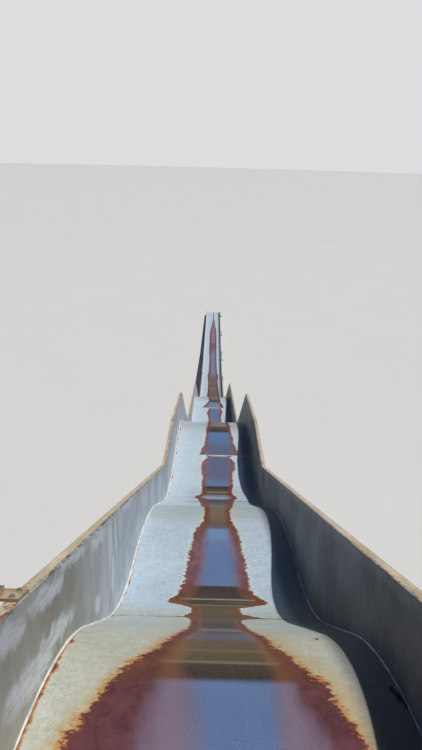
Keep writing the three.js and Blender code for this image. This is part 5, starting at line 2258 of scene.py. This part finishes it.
@dataclass
class Trestles:
    """The trestles under the chute: paint, gussets, foot stiffeners, and their bolts."""

    leg: float = 0.038
    head_depth: float = 0.045
    head_half: float = 0.36
    leg_top: float = 0.341
    # Cheek plates beside the walls, and the bolts through them
    cheek_face: float = 0.3093
    cheek_height: float = 0.11
    cheek_below_top: float = 0.0203
    cheek_shares: tuple[float, float] = (0.22, 0.78)
    cheek_shift: float = 0.009
    splay: float = 0.1
    bay: float = 1.4
    bay_foot: float = 0.12
    short: float = 0.7
    tie: float = 0.026
    brace: float = 0.018
    # Plates and ribs of the head beam
    end_plate: float = 0.004
    lip: float = 0.003
    rib: float = 0.005
    rib_depth: float = 0.006
    rib_places: tuple[float, float] = (0.11, 0.235)
    # Round plates where braces cross
    round_plate: float = 0.026
    round_thick: float = 0.003
    # How far bolts lie from the joint along a brace and along a tie
    brace_bolts: tuple[float, float] = (0.05, 0.078)
    tie_bolts: tuple[float, float] = (0.04, 0.072)
    gusset: Gusset = Gusset(
        ((0.0, -0.022), (0.088, -0.015), (0.094, 0.014), (0.07, 0.076), (0.0, 0.094)), 0.004
    )

    def build(self) -> None:
        """Paints the trestles and builds their small parts."""
        piece, joints, anchors = Piece("trestle_gussets"), Spots(), Spots()
        repaint(FRAME_FINISH, *[f"trestle_{n + 1}" for n in range(len(TRESTLES_MM))])
        for y_mm in TRESTLES_MM:
            y = model_y(y_mm)
            seat = WALL_LINE.bottom(y + self.leg / 2) - GAP
            self.cheeks(y, seat, joints)
            self.head(piece, y, seat)
            for sign in SIDES.values():
                foot = sign * self.leg_at(0.0, seat - self.head_depth, seat)
                Foot().add(piece, anchors, foot, y, self.leg / 2)
            if seat > self.short:
                self.bays(piece, y, seat, joints)
        hand_over(piece.made(FRAME_FINISH, FRAME_BEVEL), "grey_paint")
        joints.bolts("trestle_bolts", Bolt.FRAME)
        anchors.bolts("trestle_anchors", Bolt.ANCHOR)

    def leg_at(self, z: float, beam: float, seat: float) -> float:
        """How far from the middle a leg is at height z."""
        spread = self.splay * seat if seat > self.short else 0.0
        return self.leg_top + spread * (beam - z) / beam

    def cheeks(self, y: float, seat: float, joints: Spots) -> None:
        """Adds the bolts that hold the walls between the cheek plates.

        Args:
            y: the trestle's y.
            seat: the height of the head beam's top.
            joints: where the bolts' places go.
        """
        top = min(seat + self.cheek_height, WALL_LINE.top(y + self.leg / 2) - self.cheek_below_top)
        for sign in SIDES.values():
            for share in self.cheek_shares:
                for shift in (-self.cheek_shift, self.cheek_shift):
                    spot = (sign * self.cheek_face, y + shift, seat + (top - seat) * share)
                    joints.along(spot, 0, sign)

    def head(self, piece: Piece, y: float, seat: float) -> None:
        """Adds the plates that close the ends of the head beam, and its stiffeners.

        Args:
            piece: the piece that the plates go into.
            y: the trestle's y.
            seat: the height of the head beam's top.
        """
        beam, half = seat - self.head_depth, self.leg / 2
        wide = half + self.lip
        for sign in SIDES.values():
            end = sign * self.head_half
            piece.slab(0, end, (y - wide, beam - self.lip), (y + wide, seat), sign * self.end_plate)
            for place in self.rib_places:
                for way in (-1, 1):
                    x = sign * place
                    low, high = (x - self.rib / 2, beam + self.lip), (x + self.rib / 2, seat - self.lip)
                    piece.slab(1, y + way * half, low, high, way * self.rib_depth)

    def bays(self, piece: Piece, y: float, seat: float, joints: Spots) -> None:
        """Adds the gussets where ties and braces meet the legs, and the plates where braces cross.

        Args:
            piece: the piece that the plates go into.
            y: the trestle's y.
            seat: the height of the head beam's top.
            joints: where the bolts' places go.
        """
        beam = seat - self.head_depth
        count = max(1, round(beam / self.bay))
        for n in range(count):
            low = beam * (n + self.bay_foot) / count
            high = beam * (n + 1) / count - (self.leg / 2 if n == count - 1 else 0)
            at_low, at_high = self.leg_at(low, beam, seat), self.leg_at(high, beam, seat)
            way_up = Vector((at_low + at_high, high - low)).normalized()
            spots = [way_up * reach for reach in self.brace_bolts]
            with_tie = spots + [Vector((reach, 0.0)) for reach in self.tie_bolts]
            for sign in SIDES.values():
                for face in (-1, 1):
                    foot, top = (sign * at_low, y, low), (sign * at_high, y, high)
                    self.gusset.add(piece, joints, foot, 1, (-sign, face, 1), self.tie / 2, with_tie)
                    self.gusset.add(piece, joints, top, 1, (-sign, face, -1), self.tie / 2, spots)
            self.crossing(piece, y, low + (high - low) * at_low / (at_low + at_high), joints)

    def crossing(self, piece: Piece, y: float, z: float, joints: Spots) -> None:
        """Adds a round plate and a bolt on each face where two braces cross.

        Args:
            piece: the piece that the plates go into.
            y: the trestle's y.
            z: the height where the braces cross.
            joints: where the bolts' places go.
        """
        turns = np.linspace(0, math.tau, 16, endpoint=False)
        radius, thick = self.round_plate, self.round_thick
        for face in (-1, 1):
            depth = y + face * self.brace / 2
            rim = [(radius * math.cos(a), depth, z + radius * math.sin(a)) for a in turns]
            piece.plate(rim, 1, face * thick)
            joints.along((0.0, depth + face * thick, z), 1, face)


# Tower


@dataclass
class Tower:
    """The stair tower and the start platform: paint, plates, treads and bolts."""

    flights: int = 4
    risers: int = 18
    deck: float = 6.6
    going: float = 0.12
    landing: float = 0.5
    half: float = 0.45
    post: float = 0.05
    post_x: float = 0.475
    front_y: float = -0.025
    rear_y: float = -3.015
    post_top: float = 6.48
    beam_depth: float = 0.03
    landing_frame: float = 0.06
    brace: float = 0.018
    stair_gap: float = 0.035
    newel: float = 0.024
    rail: float = 0.018
    guard_inner: float = 0.3413
    rail_landing: float = 0.4
    # Plates outside the posts at each beam
    splice: float = 0.004
    splice_half: float = 0.021
    splice_reach: float = 0.05
    splice_top: float = 0.012
    splice_shares: tuple[float, float] = (0.2, 0.8)
    splice_shift: float = 0.011
    brace_bolts: tuple[float, float] = (0.06, 0.095)
    # Where a tread's ribs start, from its nose, on flights that climb away from the chute and towards it
    rib_starts: tuple[float, float] = (-0.102, 0.012)
    rib_clear: float = 0.014
    tread_bolts: tuple[float, float] = (0.035, 0.085)
    tread_bolt_depth: float = 0.012
    # Middles of the landings behind and in front, and how far lozenges reach on floors
    landing_rear: float = -2.765
    landing_front: float = -0.2752
    landing_size: tuple[float, float] = (0.88, 0.44)
    platform_size: tuple[float, float] = (0.98, 0.48)
    # Base plates of guards and newels, and the shoes on the caps
    rear_post_x: float = -0.2389
    edge_gap: float = 0.001
    base_bolt_x: float = 0.0165
    base_bolt_inset: float = 0.006
    shoe_x: float = 0.315
    shoe_shift: float = 0.014
    shoe_top: float = 0.0063
    shoe_way: Point = (0.0, 0.3, 1.0)
    base_plate: float = 0.004
    base_half: float = 0.024
    newel_plate: float = 0.006
    newel_plate_half: float = 0.04
    newel_bolt_share: float = 0.7
    gusset: Gusset = Gusset(
        ((0.015, -0.012), (0.09, 0.02), (0.125, 0.05), (0.1, 0.086), (0.015, 0.078)), 0.003
    )

    def build(self) -> None:
        """Paints the tower's nodes and builds its small parts."""
        repaint(FRAME_FINISH, "tower_left_side", "tower_right_side", "tower_front", "tower_rear")
        repaint(FRAME_FINISH, *[f"stair_flight_{n + 1}" for n in range(self.flights)])
        repaint(RAIL_FINISH, "centre_handrail", "left_guard", "right_guard", "rear_guard")
        repaint(FLOOR_PLATE_FINISH, "landing_1", "landing_2", "landing_3", "start_platform")
        self.frame_parts()
        self.treads()
        self.floors()
        self.guard_feet()

    def at(self, y: float) -> float:
        """Turns a distance from the start of the chute into the model's y."""
        return y - MIDDLE_MM * MM

    def storey_beams(self, n: int) -> tuple[float, float]:
        """The heights of the beams under and over storey n.

        Args:
            n: the storey, counted from 0.

        Returns:
            The two heights.
        """
        storey = self.deck / self.flights
        low = Foot.plate + self.beam_depth if n == 0 else n * storey - self.landing_frame / 2
        if n == self.flights - 1:
            return low, self.post_top - self.beam_depth / 2
        return low, (n + 1) * storey - self.landing_frame / 2

    def frame_parts(self) -> None:
        """Adds gussets, end plates and splices on the four posts, with their bolts."""
        piece, bolts, anchors = Piece("tower_plates"), Spots(), Spots()
        for sign in SIDES.values():
            for y in (self.front_y, self.rear_y):
                Foot().add(piece, anchors, sign * self.post_x, self.at(y), self.post / 2)
                self.splices(piece, sign, y, bolts)
            for n in range(self.flights):
                self.side_gussets(piece, sign, n, bolts)
        hand_over(piece.made(FRAME_FINISH, FRAME_BEVEL), "grey_paint")
        bolts.bolts("tower_bolts", Bolt.FRAME)
        anchors.bolts("tower_anchors", Bolt.ANCHOR)

    def splices(self, piece: Piece, sign: int, y: float, bolts: Spots) -> None:
        """Adds the plates outside a post at each beam, and their bolts.

        Args:
            piece: the piece that the plates go into.
            sign: -1 for the left side and 1 for the right.
            y: the post's y, from the start of the chute.
            bolts: where the bolts' places go.
        """
        out = -1 if y < -1 else 1
        middle, centre, wide, thick = self.at(y), sign * self.post_x, self.splice_half, self.splice
        face, end = centre + sign * self.post / 2, middle + out * self.post / 2
        for n in range(self.flights):
            z = self.storey_beams(n)[1]
            over = self.splice_top if n == self.flights - 1 else self.splice_reach
            low, high = z - self.splice_reach, z + over
            piece.slab(0, face, (middle - wide, low), (middle + wide, high), sign * thick)
            piece.slab(1, end, (centre - wide, low), (centre + wide, high), out * thick)
            for share in self.splice_shares:
                height = low + (high - low) * share
                for shift in (-self.splice_shift, self.splice_shift):
                    bolts.along((face + sign * thick, middle + shift, height), 0, sign)
                    bolts.along((centre + shift, end + out * thick, height), 1, out)

    def side_gussets(self, piece: Piece, sign: int, n: int, bolts: Spots) -> None:
        """Adds the gussets at both ends of the brace of storey n on one side.

        Args:
            piece: the piece that the plates go into.
            sign: -1 for the left side and 1 for the right.
            n: the storey, counted from 0.
            bolts: where the bolts' places go.
        """
        low, high = self.storey_beams(n)
        goes_back = (n % 2 == 0) != ((n % 2 == 0) == (sign < 0))
        first, last = (self.front_y, self.rear_y) if goes_back else (self.rear_y, self.front_y)
        slope = Vector((abs(last - first), high - low)).normalized()
        spots = [slope * reach for reach in self.brace_bolts]
        for y, z, up in ((first, low, 1), (last, high, -1)):
            inward = 1 if y < -1 else -1
            joint = (sign * self.post_x, self.at(y), z)
            for face in (-1, 1):
                self.gusset.add(piece, bolts, joint, 0, (inward, face, up), self.brace / 2, spots)

    def treads(self) -> None:
        """Adds ribs on every tread and the bolts that hold treads between the stringers."""
        ribs: list[Point] = []
        bolts = Spots()
        riser = self.deck / (self.flights * self.risers)
        inner, outer = self.stair_gap, self.half - GAP
        for n in range(self.flights):
            side, way = (-1, -1) if n % 2 == 0 else (1, 1)
            foot = -self.landing if way < 0 else -self.landing - self.going * (self.risers - 1)
            for step in range(1, self.risers):
                nose = foot + way * (self.going * (step - 1) + GAP)
                top = n * self.deck / self.flights + riser * step
                first = nose + self.rib_starts[way > 0]
                ribs.append((side * (inner + outer) / 2, self.at(first), top))
                for x, facing in ((inner, -side), (outer, side)):
                    for reach in self.tread_bolts:
                        spot = (side * x, self.at(nose + way * reach), top - self.tread_bolt_depth)
                        bolts.along(spot, 0, facing)
        made = rib_tree().run(
            "tread_ribs", ribs, RAISED_PLATE_FINISH, width=outer - inner - self.rib_clear, depth=0.005,
            height=0.003, pitch=0.018, rows=6,
        )
        hand_over(made, "chequer_plate")
        bolts.bolts("tread_bolts", Bolt.TREAD)

    def floors(self) -> None:
        """Adds raised lozenges on the start platform and the landings."""
        rear, front = self.at(self.landing_rear), self.at(self.landing_front)
        storey = self.deck / self.flights
        places = [(0.0, rear, storey), (0.0, front, 2 * storey), (0.0, rear, 3 * storey)]
        deck = [(0.0, self.at(-self.landing / 2), self.deck)]
        for name, spots, (width, length) in (
            ("landing_lozenges", places, self.landing_size), ("platform_lozenges", deck, self.platform_size),
        ):
            made = lozenge_tree().run(name, spots, RAISED_PLATE_FINISH, width=width, length=length)
            hand_over(made, "chequer_plate")

    def guard_feet(self) -> None:
        """Adds base plates under the guards' and newels' posts, and the bolts of plates and shoes."""
        piece, bolts, wide = Piece("guard_feet"), Spots(), self.base_half
        front, back = -self.rail, -self.landing + self.rail
        posts = ((self.post_x, back), (self.post_x, front), (self.guard_inner, front))
        spots = [(sign * x, y) for sign in SIDES.values() for x, y in posts] + [(self.rear_post_x, back)]
        for x, y in spots:
            low = y - min(wide, self.landing + y - self.edge_gap)
            high = y + min(wide, -y - self.edge_gap)
            piece.slab(2, self.deck, (x - wide, self.at(low)), (x + wide, self.at(high)), self.base_plate)
            for dx in (-self.base_bolt_x, self.base_bolt_x):
                for dy in (low + self.base_bolt_inset, high - self.base_bolt_inset):
                    bolts.add((x + dx, self.at(dy), self.deck + self.base_plate), UP)
        run = self.going * (self.risers - 1)
        for y in (-self.landing - GAP - self.newel / 2, -self.landing - run + GAP + self.newel / 2):
            half = self.newel_plate_half
            piece.slab(2, 0.0, (-half, self.at(y - half)), (half, self.at(y + half)), self.newel_plate)
            bolts.square((0.0, self.at(y), self.newel_plate), self.newel_bolt_share * half)
        hand_over(piece.made(RAIL_FINISH, THIN_BEVEL), "grey_paint")
        bolts.bolts("guard_bolts", Bolt.GUARD)
        shoes = Spots()
        for sign in SIDES.values():
            for shift in (-self.shoe_shift, self.shoe_shift):
                y = self.at(self.rail_landing + shift)
                shoes.add((sign * self.shoe_x, y, WALL_LINE.top(y) + self.shoe_top), self.shoe_way)
        shoes.bolts("shoe_bolts", Bolt.SHOE)


# Studio


@dataclass(frozen=True)
class Studio:
    """The pale floor, the light and the camera at the photograph's angle."""

    camera_place: Point = (-0.0325, -11.590, 7.385)
    pitch_down: float = 21.9
    roll: float = 1.5
    focal_px: float = 560.0
    long_side_px: float = 750.0
    sensor: float = 36.0
    clip: tuple[float, float] = (0.05, 600.0)
    sun_lean: float = 19.5
    sun_ahead: float = -5.0
    sun_strength: float = 3.0
    sun_spread: float = 1.2
    sun_tone: Point = (1.0, 0.98, 0.94)
    sun_place: Point = (6.0, 0.0, 20.0)
    sky_strength: float = 0.165
    sky_tone: Rgb = (160, 186, 234)
    backdrop: float = 0.86
    backdrop_tone: Rgb = (236, 237, 238)
    floor_reach: float = 260.0
    floor_drop: float = 0.0005
    floor_corners: int = 96

    def build(self) -> None:
        """Builds the camera, the lights, the world and the floor."""
        self.camera()
        self.light()
        self.world()
        self.floor()
        bpy.context.scene.view_settings.view_transform = "Standard"

    def camera(self) -> None:
        """Places the camera where the photograph was taken from."""
        data = bpy.data.cameras.new("photo_camera")
        data.sensor_width = self.sensor
        data.lens = data.sensor_width * self.focal_px / self.long_side_px
        data.clip_start, data.clip_end = self.clip
        camera = bpy.data.objects.new("photo_camera", data)
        tilt = Matrix.Rotation(math.radians(90 - self.pitch_down), 4, "X")
        turn = tilt @ Matrix.Rotation(math.radians(self.roll), 4, "Z")
        camera.matrix_world = Matrix.Translation(self.camera_place) @ turn
        bpy.context.scene.collection.objects.link(camera)
        bpy.context.scene.camera = camera

    def light(self) -> None:
        """A soft key light from the right, high up."""
        data = bpy.data.lights.new("key_light", "SUN")
        data.energy, data.angle = self.sun_strength, math.radians(self.sun_spread)
        data.color = self.sun_tone
        lamp = bpy.data.objects.new("key_light", data)
        lamp.rotation_euler = (math.radians(self.sun_ahead), math.radians(self.sun_lean), 0.0)
        lamp.location = self.sun_place
        bpy.context.scene.collection.objects.link(lamp)

    def world(self) -> None:
        """A plain sky: cool and even for the light, pale behind the object."""
        world = bpy.data.worlds.new("studio_sky")
        world.use_nodes = True
        world.node_tree.nodes.clear()
        g = Graph(world.node_tree)
        fill = g.add("ShaderNodeBackground", {"Color": paint(self.sky_tone), "Strength": self.sky_strength})
        seen = g.add("ShaderNodeBackground", {"Color": paint(self.backdrop_tone), "Strength": self.backdrop})
        direct = g.add("ShaderNodeLightPath").outputs["Is Camera Ray"]
        both = g.add("ShaderNodeMixShader", {0: direct, 1: fill.outputs[0], 2: seen.outputs[0]})
        g.add("ShaderNodeOutputWorld", {"Surface": both.outputs[0]})
        bpy.context.scene.world = world

    def floor(self) -> None:
        """A wide round floor that runs past the horizon of every view."""
        piece = Piece("studio_floor")
        turns = np.linspace(0, math.tau, self.floor_corners, endpoint=False)
        reach, low = self.floor_reach, -self.floor_drop
        piece.points = [(reach * math.cos(a), reach * math.sin(a), low) for a in turns]
        piece.faces = [list(range(len(turns)))]
        piece.made(FloorFinish("studio_floor"))


def main() -> None:
    """Builds the studio and every part of the slide, in order."""
    logging.basicConfig(level=logging.INFO, format="%(message)s")
    for part in (Studio(), Bed(), Walls(), Caps(), Trestles(), Tower()):
        part.build()


if __name__ == "__main__":
    main()
